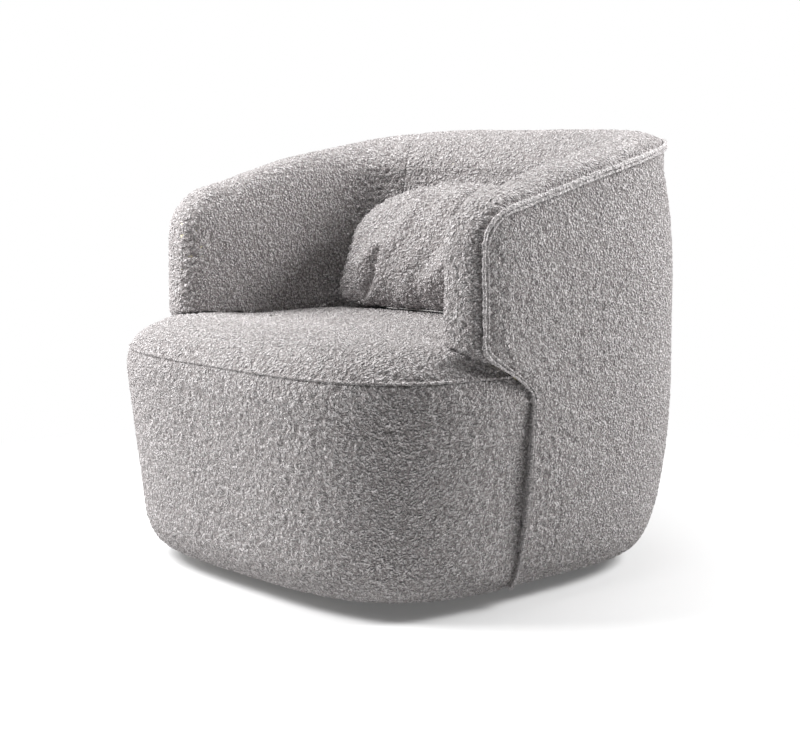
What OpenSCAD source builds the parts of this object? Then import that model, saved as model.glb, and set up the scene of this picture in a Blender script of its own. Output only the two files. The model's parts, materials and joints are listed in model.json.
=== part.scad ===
// Upholstered swivel tub chair with a loose lumbar pillow.
// Millimetres, +Z up. The origin lies on the floor, on the swivel's axis.
// The sitter faces -Y, and the left and right pieces mirror each other in X.

/* [Plan] */
// Width of the chair over its outer cover
overall_w = 860; // [820:5:900]
// Depth of the front half, from the widest line forward
depth_front = 410; // [400:5:430]
// Depth of the back half, from the widest line rearward
depth_back = 450; // [430:5:470]
// How square the front half's outline is: 2 is an ellipse
square_front = 3.5; // [3:0.1:4]
// How square the back half's outline is: 2 is an ellipse
square_back = 3.15; // [2.8:0.05:3.6]
// How straight the arms' outer sides are: more is straighter
square_arm = 5; // [4:0.5:6]

/* [Heights] */
// Height of the seam between the seat's top and its border
seam_z = 383; // [375:1:395]
// Height at which the seat's border starts to roll over
seat_roll_z = 345; // [338:1:352]
// Rise of the rolled edge above the height where it starts
seat_roll_h = 83; // [76:1:90]
// Rise of the seat's crown above its rolled edge
seat_crown = 6; // [0:1:12]
// Height of the welt on the arms, where the rim starts to climb
rim_arm_z = 631; // [615:1:645]
// Height of the welt at the middle of the back
rim_back_z = 756; // [735:1:775]

/* [Seat block] */
// How far the border draws in towards the floor
front_taper = 31; // [20:1:40]
// How far the border's lower edge curls under
front_under = 30; // [20:1:36]
// Height of that curl
front_under_h = 66; // [50:1:80]
// Width of the seat's rolled edge
seat_roll_w = 88; // [80:1:96]
// How full the rolled edge is: 2 is an ellipse
seat_roll_square = 2.5; // [2.2:0.1:2.7]

/* [Shell] */
// How far the shell draws in at its lower edge
shell_under = 68; // [55:1:72]
// Height at which the shell starts to draw in
shell_under_z = 363; // [340:1:380]
// How far the back leans in at its top
shell_lean = 18; // [8:1:24]
// Height at which the lean starts
shell_lean_z = 500; // [470:5:520]
// Height over which the lean grows
shell_lean_h = 200; // [180:5:240]
// Thickness of the arms
arm_t = 104; // [98:1:112]
// Thickness of the back, where its inner face starts under the roll
back_t = 160; // [150:1:170]
// Angle at which the back's inner face leans
back_slope = 16; // [12:1:18]
// Distance of the welt on the arm's front from the widest line
arm_reach = 191; // [175:1:200]
// Distance of the joint between shell and seat block from the widest line
joint_reach = 92; // [84:1:100]
// Radius of the corner that the welt turns at the arm's front
arm_corner_r = 50; // [42:1:58]

/* [Padded rim] */
// Distance inward from the welt to the rim's highest line
crest_in = 63; // [56:1:66]
// Height of the rim's highest line over the welt on the arms
crest_up = 30; // [24:1:34]
// The same height on the back
crest_up_back = 19; // [15:1:24]
// How full the roll is between the welt and its highest line: 2 is an ellipse
rim_square = 2.3; // [2:0.1:2.5]
// Drop from the highest line to where the inner face is straight
crest_drop = 87; // [75:1:95]
// Width of the flat welt
welt_w = 12; // [9:0.5:14]
// Thickness of the flat welt
welt_t = 5; // [3:0.5:6]

/* [Upholstery] */
// Thickness of the cover cloth with its backing
cover_t = 2.7; // [2:0.1:3.2]
// Thickness of the foam on the outside
outer_foam_t = 19; // [16:0.5:21]
// Thickness of the bent outer and front boards
board_skin_t = 4; // [3:0.5:5]
// Thickness of the bent inner lining board
lining_t = 3; // [2:0.5:4]
// Depth of the frame between the outer board and the lining board
frame_depth = 36; // [34:1:38]
// Width by which the covers turn under the frame
turn_under = 34; // [24:1:40]
// Thickness of the dust cover
dust_t = 0.8; // [0.5:0.1:1]

/* [Frame] */
// Thickness of the bottom board
bottom_t = 18; // [15:1:21]
// Thickness of the ring of seat rails
rail_t = 18; // [15:1:21]
// Height of the seat rails' upper face
rail_z = 300; // [292:1:304]
// Width of a seat rail
rail_w = 74; // [60:1:80]
// Thickness of a base rib
rib_t = 18; // [15:1:22]
// Depth of a base rib behind the bottom board's edge
rib_depth = 50; // [40:1:60]
// Thickness of an arm panel
arm_panel_t = 18; // [15:1:20]
// Width of a back post
post_w = 40; // [30:1:50]
// Height of the rail along the top of the back
top_rail_h = 60; // [50:1:70]
// Side of a corner block
block_w = 56; // [48:1:60]
// Height of a corner block
block_h = 30; // [24:1:36]
// Width of the seat's webbing
web_w = 50; // [40:1:56]
// Thickness of the seat's webbing
web_t = 2.5; // [1.5:0.1:2.6]

/* [Base] */
// Diameter of the plinth
plinth_d = 560; // [520:5:600]
// Thickness of the plinth
plinth_t = 12; // [12:0.5:15]
// Diameter of a felt glide
glide_d = 36; // [28:1:44]
// Thickness of a felt glide
glide_t = 4; // [3:0.5:5]
// Distance of the glides from the swivel's axis
glide_r = 240; // [225:1:245]
// Number of glides
glide_count = 6; // [4:1:8]

/* [Swivel] */
// Height of the swivel bearing
bearing_h = 12; // [12:0.5:14]
// Diameter of the circle on which the balls run
ball_circle_d = 260; // [250:1:270]
// Diameter of a ball
ball_d = 8; // [8:0.1:8.4]
// Number of balls
ball_count = 24; // [18:1:30]
// Thickness of a race plate
race_t = 5; // [4.8:0.1:5]
// Width from the ball circle to a race's plain edge
race_lip = 10; // [8:1:12]
// Width from the ball circle to a race's bolted edge
race_flange = 28; // [26:1:32]
// Number of bolts in each race
race_bolts = 8; // [6:1:10]
// Radius of a swivel bolt
bolt_r = 3; // [2.8:0.1:3.2]
// Radius of a base screw
screw_r = 2.1; // [2:0.1:2.3]

/* [Pillow] */
// Width of the lumbar pillow
pillow_w = 590; // [575:5:610]
// Height of the lumbar pillow
pillow_h = 268; // [258:1:278]
// Thickness of the lumbar pillow at its middle
pillow_t = 156; // [140:1:162]
// Angle by which the pillow leans back
pillow_lean = 17; // [14:1:18]
// Clearance between the pillow and the back's inner face
pillow_clear = 3; // [2:1:12]
// How far the pillow's ends bend forward along the tub
pillow_bend = 40; // [30:1:46]

/* [Hidden] */

// Clearance between neighbouring pieces, and the overrun of a cut
gap = 0.3;
over = 1;
// Running clearances of the bearing and the fasteners
ball_gap = 0.05;
pin_gap = 0.15;
// Step over which a profile's slope is measured
slope_step = 0.5;

half_w = overall_w / 2;
// The widest line lies forward of the axis, so that the axis is in the middle
wide_y = (depth_front - depth_back) / 2;
bottom_z = glide_t + plinth_t + bearing_h;
skirt_z = bottom_z - cover_t - gap;
arm_front_y = wide_y - arm_reach;
joint_y = wide_y - joint_reach;

// Depths below the outer surface at which the layers start and end
foam_start = cover_t + 2.5 * gap;
foam_end = foam_start + outer_foam_t;
skin_start = foam_end + gap;
skin_end = skin_start + board_skin_t;
frame_start = skin_end + gap;
frame_end = frame_start + frame_depth;
lining_start = frame_end + gap;
lining_end = lining_start + lining_t;
pad_start = lining_end + 3 * gap;

// Heights in the seat
web_low_z = rail_z;
web_high_z = rail_z + web_t + gap;
pad_z = web_high_z + web_t + gap;
seat_edge_z = seat_roll_z + seat_roll_h;

function clamp(v) = max(0, min(1, v));
function smooth(v) = let (c = clamp(v)) c * c * (3 - 2 * c);
function mix(p, q, share) = p + (q - p) * share;
function signed_pow(v, e) = sign(v) * pow(abs(v), e);
function reversed(v) = [for (i = [len(v) - 1 : -1 : 0]) v[i]];
function mirrored(p) = [-p[0], p[1], p[2]];

// The plan outline: angle 0 is the right side and 90 is the middle of the back
function half_depth(t) = sin(t) < 0 ? depth_front : depth_back;
function squareness(t) = sin(t) < 0 ? square_front : square_back;
function outline(t, inset) = let (e = 2 / squareness(t))
    [(half_w - inset) * signed_pow(cos(t), e),
     wide_y + (half_depth(t) - inset) * signed_pow(sin(t), e)];
function outward(t) = let (
        n = squareness(t), e = 2 * (n - 1) / n,
        v = [signed_pow(cos(t), e) / half_w, signed_pow(sin(t), e) / half_depth(t)])
    v / norm(v);
function angle_at(y) = inset_angle_at(y, 0);
function inset_angle_at(y, inset) = let (
        v = (y - wide_y) / ((y < wide_y ? depth_front : depth_back) - inset),
        n = y < wide_y ? square_front : square_back)
    asin(signed_pow(v, n / 2));
// All layers share their columns behind the widest line, so that their flats lie parallel
column_angle = 7.5;
function columns_between(from, to) = concat([from],
    [for (i = [floor(from / column_angle) + 1 : ceil(to / column_angle) - 1]) i * column_angle], [to]);
// Y of the outline at a given X and inset, on the front or the back side
function chord_y(x, inset, back) = let (
        d = (back ? depth_back : depth_front) - inset,
        n = back ? square_back : square_front,
        v = pow(1 - pow(abs(x) / (half_w - inset), n), 1 / n))
    wide_y + (back ? d : -d) * v;

// Profile of the shell: inset at a height
shell_under_shape = 2.27;
function shell_inset(z) = let (
        k = clamp((shell_under_z - z) / (shell_under_z - skirt_z)),
        q = shell_under_shape,
        lean = clamp((z - shell_lean_z) / shell_lean_h))
    shell_under * (1 - pow(1 - pow(k, q), 1 / q)) + shell_lean * lean * lean;

// Profile of the seat block: u from 0 to 1 climbs the border, 1 to 2 rolls over
function front_profile(u) = u <= 1
    ? let (
        z = mix(skirt_z, seat_roll_z, u),
        k = clamp((skirt_z + front_under_h - z) / front_under_h))
      [front_taper * (1 - u) + front_under * (1 - sqrt(1 - k * k)), z]
    : let (a = 90 * (u - 1), e = 2 / seat_roll_square)
      [seat_roll_w * (1 - signed_pow(cos(a), e)), seat_roll_z + seat_roll_h * signed_pow(sin(a), e)];
seam_u = 1 + asin(pow((seam_z - seat_roll_z) / seat_roll_h, seat_roll_square / 2)) / 90;

// Unit direction into the upholstery, as inset and height
max_slope = 3;
function inward(slope) = let (m = min(max_slope, max(0, slope))) [1, m] / norm([1, m]);
function shell_inward(z) = let (
        s = (shell_inset(max(z, skirt_z + slope_step) - slope_step)
            - shell_inset(max(z, skirt_z + slope_step) + slope_step)) / (2 * slope_step))
    inward(s);
function front_inward(u) = let (
        h = slope_step / seat_roll_z,
        p = front_profile(max(h, u - h)), q = front_profile(max(2 * h, u + h)),
        d = q - p)
    u > 1 ? [d[1], -d[0]] / norm(d) : inward(-d[0] / d[1]);

// The welt at the front of the arm: upright, then swept back over the seat block
sweep_top_z = seam_z + 54;
sweep_h = 92;
function welt_y(z) = mix(arm_front_y, joint_y, smooth((sweep_top_z - z) / sweep_h));

// The rim climbs from the arms to the back
rim_rise_shape = 1.335;
function rim_z(y) = let (u = clamp((y - arm_front_y) / (wide_y + depth_back - arm_front_y)))
    mix(rim_arm_z, rim_back_z, 1 - pow(1 - u, rim_rise_shape));
function wall_t(t) = front_side(t) ? arm_t : mix(arm_t, back_t, sin(t) * sin(t));

// Point under the shell's outer surface, by angle, height and depth. The arms draw in straight
// across the chair, and the back draws in along the plan's normal.
function front_side(t) = sin(t) <= 0;
function arm_outline(t) = let (
        y = outline(t, 0)[1], v = min(1, (wide_y - y) / depth_front))
    [sign(cos(t)) * half_w * pow(1 - pow(v, square_arm), 1 / square_arm), y];
function shell_point(t, z, depth) = let (
        p = front_side(t)
            ? arm_outline(t) - sign(cos(t)) * [shell_inset(z) + depth, 0]
            : outline(t, shell_inset(z)) - depth * outward(t))
    [p[0], p[1], z];

// Depth of the back's inner face: it leans down to the seat and stands upright behind it
slope_top_z = rim_back_z + crest_up_back - crest_drop;
function back_depth(z) =
    back_t + tan(back_slope) * (slope_top_z - max(seat_edge_z, min(slope_top_z, z)));
// Point of the padding: beside the seat it follows the plan's normal, and behind the widest
// line it lies on the way from the outer outline to the inner face
function wall_point(t, z, depth) = front_side(t) ? shell_point(t, z, depth) : let (
        e = 2 / square_back, lean = shell_inset(z),
        inner = [(half_w - lean - arm_t) * signed_pow(cos(t), e),
            wide_y + (depth_back - lean - back_depth(z)) * signed_pow(sin(t), e)],
        p = mix(outline(t, lean), inner, depth / wall_t(t)))
    [p[0], p[1], z];

// The seat's top surface over a point of the plan
function gauge(x, y) = let (
        n = y < wide_y ? square_front : square_back,
        d = y < wide_y ? depth_front : depth_back)
    pow(pow(abs(x) / half_w, n) + pow(abs(y - wide_y) / d, n), 1 / n);
function seat_z(x, y) = let (
        g = gauge(x, y), e = half_w * (1 - g), k = clamp((seat_roll_w - e) / seat_roll_w),
        flat_share = clamp(g / (1 - seat_roll_w / half_w)))
    seat_roll_z + seat_roll_h * pow(1 - pow(k, seat_roll_square), 1 / seat_roll_square)
        + seat_crown * (1 - flat_share * flat_share);

// Triangles between two rows of a grid of points
function grid_faces(rows, cols, first, flip) = [
    for (r = [0 : rows - 2], c = [0 : cols - 2], half = [0, 1])
        let (
            a = first + r * cols + c, b = a + 1, d = a + cols, e = d + 1,
            f = half == 0 ? [a, b, e] : [a, e, d])
        flip ? reversed(f) : f];
function strip_faces(one, two, flip) = [
    for (i = [0 : len(one) - 2], half = [0, 1])
        let (f = half == 0 ? [one[i], one[i + 1], two[i + 1]] : [one[i], two[i + 1], two[i]])
        flip ? reversed(f) : f];

// Closed solid between two open grids of points with equal rows and columns
module sheet_solid(upper, lower) {
    rows = len(upper);
    cols = len(upper[0]);
    n = rows * cols;
    points = [for (g = [upper, lower], row = g, p = row) p];
    first_row = [for (c = [0 : cols - 1]) c];
    last_row = [for (c = [0 : cols - 1]) (rows - 1) * cols + c];
    first_col = [for (r = [0 : rows - 1]) r * cols];
    last_col = [for (r = [0 : rows - 1]) r * cols + cols - 1];
    polyhedron(points, concat(
        grid_faces(rows, cols, 0, true),
        grid_faces(rows, cols, n, false),
        strip_faces(first_row, [for (i = first_row) i + n], false),
        strip_faces(last_row, [for (i = last_row) i + n], true),
        strip_faces(first_col, [for (i = first_col) i + n], true),
        strip_faces(last_col, [for (i = last_col) i + n], false)));
}

// Closed solid between two stacks of closed rings, each ending in a middle point
module disc_solid(upper, lower, upper_mid, lower_mid) {
    rings = len(upper);
    cols = len(upper[0]);
    n = rings * cols + 1;
    points = concat([for (ring = upper, p = ring) p], [upper_mid],
        [for (ring = lower, p = ring) p], [lower_mid]);
    around = [for (c = [0 : cols - 1]) [c, (c + 1) % cols]];
    faces = [for (side = [0, 1], r = [0 : rings - 2], c = around, half = [0, 1])
        let (
            o = side * n + r * cols, a = o + c[0], b = o + c[1],
            f = half == 0 ? [a, b, b + cols] : [a, b + cols, a + cols])
        side == 0 ? reversed(f) : f];
    caps = [for (side = [0, 1], c = around)
        let (o = side * n + (rings - 1) * cols, f = [o + c[0], o + c[1], side * n + n - 1])
        side == 0 ? reversed(f) : f];
    rim = [for (c = around, half = [0, 1])
        half == 0 ? [c[0], c[1], n + c[0]] : [c[1], n + c[1], n + c[0]]];
    polyhedron(points, concat(faces, caps, rim));
}

// Shell: outer cover, foam and board

front_col_shares = [0, 0.03, 0.08, 0.14, 0.22, 0.32, 0.5, 0.75, 1];
low_row_shares = [0, 0.03, 0.1, 0.22, 0.38, 0.6, 0.86, 1];
sweep_row_shares = [0.25, 0.5, 0.75, 1];
high_row_shares = [0.5, 1];
board_row_shares = [0, 0.1, 0.22, 0.6, 1];
board_sweep_shares = [0.5, 1];

// Deeper layers stop earlier at their edges, under the roll of foam on the arm's front and rim
frame_top_drop = 24;
function depth_drop(depth) = frame_top_drop * clamp((depth - foam_start) / outer_foam_t);
// Angles of the columns on the right half at one height, for a front edge behind the welt
function half_angles(z, edge) = concat(
    [for (s = front_col_shares) angle_at(mix(welt_y(z) + edge, wide_y, s))],
    [for (t = [column_angle : column_angle : 90]) t]);
// Height of the shell's upper edge at a place, rounded at the arm's front corner
function edge_z(y, edge) = let (
        r = arm_corner_r - edge,
        k = clamp((arm_front_y + arm_corner_r - y) / r))
    rim_z(y) - edge - r * (1 - sqrt(1 - k * k));
function both_sides(side) = concat(side, reversed([for (i = [0 : len(side) - 2]) mirrored(side[i])]));

// A level row of the shell, and a row on the way up to its edge
function level_row(z, depth, edge, flange) = let (d = shell_inward(z) * depth)
    both_sides([for (t = half_angles(z, edge))
        let (p = shell_point(t, z, d[0] + flange)) [p[0], p[1], z + d[1]]]);
function rising_row(share, depth, edge) = let (tops = half_angles(sweep_top_z, edge))
    both_sides([for (t = tops)
        shell_point(t, mix(sweep_top_z, edge_z(outline(t, 0)[1], edge), share), depth)]);
function shell_rows(depth, welt_edge, lows, sweeps, flange) = let (
        edge = welt_edge + depth_drop(depth))
    concat(
        flange > 0 ? [level_row(skirt_z, depth, edge, flange)] : [],
        [for (s = lows) level_row(mix(skirt_z, sweep_top_z - sweep_h, s), depth, edge, 0)],
        [for (s = sweeps) level_row(mix(sweep_top_z - sweep_h, sweep_top_z, s), depth, edge, 0)],
        [for (s = high_row_shares) rising_row(s, depth, edge)]);

// Distance by which the foam and the board stop short of the welt
board_relief = 4;
module board_layer(start, end) {
    edge = welt_w + board_relief;
    sheet_solid(
        shell_rows(start, edge, board_row_shares, board_sweep_shares, 0),
        shell_rows(end, edge, board_row_shares, board_sweep_shares, 0));
}

module outer_cover() {
    edge = welt_w / 2 + gap;
    color("silver") sheet_solid(
        shell_rows(0, edge, low_row_shares, sweep_row_shares, turn_under),
        shell_rows(cover_t, edge, low_row_shares, sweep_row_shares, turn_under));
}

module outer_foam() {
    color("khaki") board_layer(foam_start, foam_end);
}

module outer_board() {
    color("burlywood") board_layer(skin_start, skin_end);
}

// Seat block: border cover, foam and board

border_side_angles = [-2 * column_angle, -1.5 * column_angle];
border_row_shares = [0, 0.02, 0.06, 0.12, 0.2, 0.45, 0.75, 1];
border_curl_shares = [0, 0.06, 0.2];
border_board_shares = [0.6, 1];
function border_row(u, depth, welt_edge, flange) = let (
        p = front_profile(u), d = front_inward(u) * depth, z = p[1],
        inset = p[0] + d[0] + flange,
        last = inset_angle_at(welt_y(z) - welt_edge, inset),
        angles = concat([for (t = [-90 : column_angle : -3 * column_angle]) t], border_side_angles, [last]),
        side = [for (t = angles)
            let (q = outline(t, inset)) [q[0], q[1], z + d[1]]])
    concat(reversed([for (i = [1 : len(side) - 1]) mirrored(side[i])]), side);

module border_cover() {
    // It runs on under the welt, up to the shell's cover
    edge = gap - welt_w / 2;
    us = concat(border_row_shares, [mix(1, seam_u, 0.5), seam_u]);
    color("silver") sheet_solid(
        concat([border_row(0, 0, edge, turn_under)], [for (u = us) border_row(u, 0, edge, 0)]),
        concat([border_row(0, cover_t, edge, turn_under)], [for (u = us) border_row(u, cover_t, edge, 0)]));
}

module border_layer(start, end, top) {
    us = concat(border_curl_shares, border_board_shares * top);
    sheet_solid(
        [for (u = us) border_row(u, start, welt_w, 0)],
        [for (u = us) border_row(u, end, welt_w, 0)]);
}

module border_foam() {
    color("khaki") border_layer(foam_start, foam_end, 1);
}

// The front board stops at the seat rails' upper face, where the seat foam begins
module front_board() {
    color("burlywood") border_layer(skin_start, skin_end, (rail_z - skirt_z) / (seat_roll_z - skirt_z));
}

// Arm and back padding: a roll from the welt over the crest, then a straight inner face

// Place on the roll at an angle: 0 at the welt, 90 at the crest, 180 where the face is straight.
// The first number is how far it stands beyond the welt's line, the second its depth.
function roll(a, t, thick, rise) = let (e = 2 / rim_square) a <= 90
    ? [(rise - thick) * signed_pow(sin(a), e), crest_in - (crest_in - thick) * signed_pow(cos(a), e)]
    : [(rise - thick) - crest_drop * (1 - sin(a)),
       crest_in + (t - thick - crest_in) * -cos(a)];
function crest_rise(y) = mix(crest_up, crest_up_back, smooth((y - wide_y) / (depth_back * fall_share)));
fall_share = 0.65;
// Angles on the roll; the last stands for all places on the straight face
roll_angles = [8, 28, 55, 90, 112, 135, 158, 180];
ups = len(roll_angles);
// The padding's inside, at the same places: over the outer foam and the frame, then down
core_drop = welt_w + frame_top_drop;
core_gap = 3 * gap;
core_depth_shares = [0, 0.5, 1];
core_drop_shares = [0.1, 0.25, 0.4, 0.6];
function core(i) = i < 3
    ? [core_gap + mix(-welt_w, -core_drop, core_depth_shares[i]),
       mix(foam_start, foam_end, core_depth_shares[i])]
    : i == 3
    ? [core_gap - core_drop, pad_start]
    : let (share = core_drop_shares[i - len(core_depth_shares) - 1])
      [mix(-core_drop, crest_up_back - crest_drop, share), pad_start];
// The place on the roll or the inside that belongs to a column or row
function pad_profile(i, y, thick, inside) =
    inside ? core(i) : roll(roll_angles[i], wall_t(angle_at(y)), thick, crest_rise(y));

wall_row_shares = [0.3, 0.6, 0.78, 1];
pad_rows = ups + len(wall_row_shares);
low_back_z = rail_z + 12;

// The corner of the arm's front: place (c, r) lies on ring k of the roll, and the rings turn the
// corner about one centre. The result is Y, Z and depth.
function corner_place(c, r, thick, inside) = let (
        k = min(c, r), last = ups - 1,
        ring = pad_profile(k, arm_front_y, thick, inside),
        reach = k == last ? ring[0]
            : mix(ring[0], pad_profile(last, arm_front_y, thick, inside)[0], (max(c, r) - k) / (last - k)),
        dy = arm_corner_r + (c <= r ? ring[0] : reach),
        dz = arm_corner_r + (r <= c ? ring[0] : reach),
        m = max(dy, dz), turned = dy > 0 && dz > 0,
        y = arm_front_y + arm_corner_r - (turned ? dy * sqrt(1 - pow(dz / m, 2) / 2) : dy),
        z = rim_z(y) - arm_corner_r + (turned ? dz * sqrt(1 - pow(dy / m, 2) / 2) : dz))
    [y, z, ring[1]];

arm_seam_angle = 7 * column_angle;
// Y of the columns behind the arm's front, up to the seam
arm_wall_ys = concat(
    [joint_y, joint_y + welt_w, (joint_y + welt_w + wide_y) / 2],
    [for (t = columns_between(0, arm_seam_angle)) outline(t, 0)[1]]);
// The arm's underside clears the seat's rolled edge, and behind the joint the padding goes down
under_drop = 24;
under_run = 75;
function low_end(y, depth, lift) = y >= joint_y + welt_w
    ? low_back_z
    : seat_edge_z + seat_crown + lift - under_drop * pow(1 - clamp(depth / under_run), 2);
function arm_point(c, r, thick, lift, inside) = let (
        along = pad_profile(min(c, ups - 1), arm_front_y, thick, inside),
        y = c < ups ? arm_front_y - along[0] : arm_wall_ys[c - ups],
        up = pad_profile(min(r, ups - 1), y, thick, inside),
        full = inside ? pad_start : wall_t(angle_at(y)) - thick,
        depth = c < ups ? along[1] : full,
        share = r < ups ? 0 : wall_row_shares[r - ups],
        z = mix(rim_z(y) + up[0], low_end(y, depth, lift), share),
        // The arm's front sweeps back with the welt at its lower end, and the inside stays upright
        swept = c < ups && !inside ? y + welt_y(z - (lift - gap) * share) - arm_front_y : y,
        q = c < ups && r < ups ? corner_place(c, r, thick, inside)
            : [swept, z, r < ups ? up[1] : depth])
    inside ? shell_point(angle_at(q[0]), q[1], q[2]) : wall_point(angle_at(q[0]), q[1], q[2]);
function arm_grid(thick, lift, inside) = [
    for (r = [0 : pad_rows - 1])
        [for (c = [0 : ups + len(arm_wall_ys) - 1]) arm_point(c, r, thick, lift, inside)]];

module arm_cover() {
    color("silver") sheet_solid(arm_grid(0, gap, false), arm_grid(cover_t, gap, false));
}

module arm_foam() {
    lift = foam_start + gap;
    color("khaki") sheet_solid(arm_grid(foam_start, lift, false), arm_grid(0, lift, true));
}

module arm_cover_right() {
    arm_cover();
}

module arm_cover_left() {
    mirror([1, 0, 0]) arm_cover();
}

module arm_foam_right() {
    arm_foam();
}

module arm_foam_left() {
    mirror([1, 0, 0]) arm_foam();
}

function back_grid(thick, inside) = let (first = arm_seam_angle + gap_angle)
    [for (r = [0 : pad_rows - 1])
        [for (t = columns_between(first, 180 - first))
            let (
                y = outline(t, 0)[1],
                up = pad_profile(min(r, ups - 1), y, thick, inside),
                z = mix(rim_z(y) + up[0], low_back_z, r < ups ? 0 : wall_row_shares[r - ups]))
            inside ? shell_point(t, z, up[1]) : wall_point(t, z, up[1])]];
// The clearance at the padding's seams, as an angle
gap_angle = 2 * asin(gap / half_w);

module back_cover() {
    color("silver") sheet_solid(back_grid(0, false), back_grid(cover_t, false));
}

module back_foam() {
    color("khaki") sheet_solid(back_grid(foam_start, false), back_grid(0, true));
}

// Flat welt along the joint, the arm's front and the rim, swept as one strip

welt_corner_steps = 5;
welt_low_shares = [0, 0.04, 0.1, 0.2, 0.4, 0.65, 0.85, 1];
welt_sweep_shares = [0.2, 0.4, 0.6, 0.8, 1];
welt_arm_shares = [0.15, 0.35, 0.6];
welt_half_path = concat(
    [for (s = welt_low_shares)
        let (z = mix(skirt_z + welt_w / 2, sweep_top_z - sweep_h, s)) [welt_y(z), z]],
    [for (s = welt_sweep_shares)
        let (z = mix(sweep_top_z - sweep_h, sweep_top_z, s)) [welt_y(z), z]],
    [[arm_front_y, (sweep_top_z + rim_arm_z - arm_corner_r) / 2]],
    [for (i = [0 : welt_corner_steps])
        let (a = 90 * i / welt_corner_steps, y = arm_front_y + arm_corner_r * (1 - cos(a)))
        [y, rim_z(y) - arm_corner_r * (1 - sin(a))]],
    [for (s = welt_arm_shares) let (y = mix(arm_front_y + arm_corner_r, wide_y, s)) [y, rim_z(y)]]);
welt_depth = -welt_t / 2 - gap;
// Where the seat's border stands proud of the shell, the welt lies on the border
function welt_lift(z) = let (u = clamp((z - skirt_z) / (seat_roll_z - skirt_z)))
    max(0, shell_inset(z) - front_profile(u)[0]);
welt_path = let (
        side = [for (p = welt_half_path) shell_point(angle_at(p[0]), p[1], welt_depth - welt_lift(p[1]))],
        rear = [for (t = [0 : column_angle : 180]) shell_point(t, rim_z(outline(t, 0)[1]), welt_depth)])
    concat(side, rear, reversed([for (p = side) mirrored(p)]));
function unit(v) = v / norm(v);
// Section of the strip: a flat bar with eased edges, across the path and away from the surface
welt_ease_share = 0.35;
welt_section = let (w = welt_w / 2, h = welt_t / 2, e = welt_t * welt_ease_share)
    [[w - e, h], [w, h - e], [w, e - h], [w - e, -h], [e - w, -h], [-w, e - h], [-w, h - e], [e - w, h]];

module rim_welt() {
    n = len(welt_path);
    k = len(welt_section);
    rings = [for (i = [0 : n - 1])
        let (
            p = welt_path[i],
            along = unit(welt_path[min(n - 1, i + 1)] - welt_path[max(0, i - 1)]),
            flat = welt_outward(p),
            across = unit(cross(along, flat)),
            off = cross(across, along))
        [for (q = welt_section) p + q[0] * across + q[1] * off]];
    sides = [for (i = [0 : n - 2], j = [0 : k - 1], half = [0, 1])
        let (a = i * k + j, b = i * k + (j + 1) % k)
        half == 0 ? [a, b + k, b] : [a, a + k, b + k]];
    ends = [for (j = [1 : k - 2], half = [0, 1])
        let (o = (n - 1) * k)
        half == 0 ? [0, j, j + 1] : [o, o + j + 1, o + j]];
    color("gray") polyhedron([for (r = rings, p = r) p], concat(sides, ends));
}
function welt_outward(p) = let (
        back = p[1] > wide_y,
        n = back ? square_back : square_front, d = back ? depth_back : depth_front,
        v = [signed_pow(p[0] / half_w, n - 1) / half_w, signed_pow((p[1] - wide_y) / d, n - 1) / d])
    unit([v[0], v[1], 0]);

// Seat: foam pad and top cover, crowned, wide in front of the arms and narrow between them

seat_mid_y = arm_front_y;
seat_front_cols = 8;
step_start_y = joint_y - 36 - 12;
// Angles of the seat's columns on the right side, from the front's middle to the back's middle
seat_half_angles = concat(
    [for (i = [0 : seat_front_cols]) mix(-90, angle_at(step_start_y), i / seat_front_cols)],
    [angle_at(joint_y - gap), angle_at((joint_y + wide_y) / 2), 0],
    [for (t = [column_angle : column_angle : 90]) t]);
seat_angles = concat(seat_half_angles,
    [for (i = [len(seat_half_angles) - 2 : -1 : 1]) 180 - seat_half_angles[i]]);
function in_front(t) = outline(t, 0)[1] < (step_start_y + joint_y) / 2;
// Edge of the seat over an angle: on the front's roll, or at the foot of the padding
function seat_edge(t, front_inset, clear) = in_front(t)
    ? outline(t, front_inset)
    : let (p = wall_point(t, seat_edge_z, wall_t(t) + clear)) [p[0], p[1]];
seat_mid = [0, seat_mid_y];
function towards_mid(p, run) = p + unit(seat_mid - p) * run;
seat_edge_run = 80;
seat_edge_shares = [0, 0.07, 0.2, 0.4, 0.68, 1];
seat_mid_shares = [0.35, 0.75];
rear_drop = 10;
edge_drop_share = 0.75;
// A ring of the seat's top; drop is how deep the ring lies under the surface
function seat_ring(front_inset, clear, run, mid_share, drop) = [
    for (t = seat_angles)
        let (
            edge = seat_edge(t, front_inset, clear),
            p = mix(towards_mid(edge, run), seat_mid, mid_share),
            fall = in_front(t) ? 0 : rear_drop * pow(1 - clamp(run / seat_edge_run), 2))
        [p[0], p[1], seat_z(p[0], p[1]) - fall - drop]];
function seat_rings(front_inset, clear, drop) = concat(
    [for (s = seat_edge_shares)
        seat_ring(front_inset, clear, seat_edge_run * s, 0, drop * mix(edge_drop_share, 1, s))],
    [for (s = seat_mid_shares) seat_ring(front_inset, clear, seat_edge_run, s, drop)]);
function seat_middle(drop) = [0, seat_mid_y, seat_z(0, seat_mid_y) - drop];
seam_inset = front_profile(seam_u)[0];

module seat_cover() {
    slant = cover_t / 2;
    color("silver") disc_solid(
        seat_rings(seam_inset + gap, gap, 0),
        seat_rings(seam_inset + gap + slant, gap + slant, cover_t * sqrt(2)),
        seat_middle(0), seat_middle(cover_t * sqrt(2)));
}

// Flat rings under the seat foam, stepped over the border's foam and board
function flat_ring(front_inset, clear, mid_share, z) = [
    for (t = seat_angles)
        let (p = mix(seat_edge(t, front_inset, clear), seat_mid, mid_share)) [p[0], p[1], z]];

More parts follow.
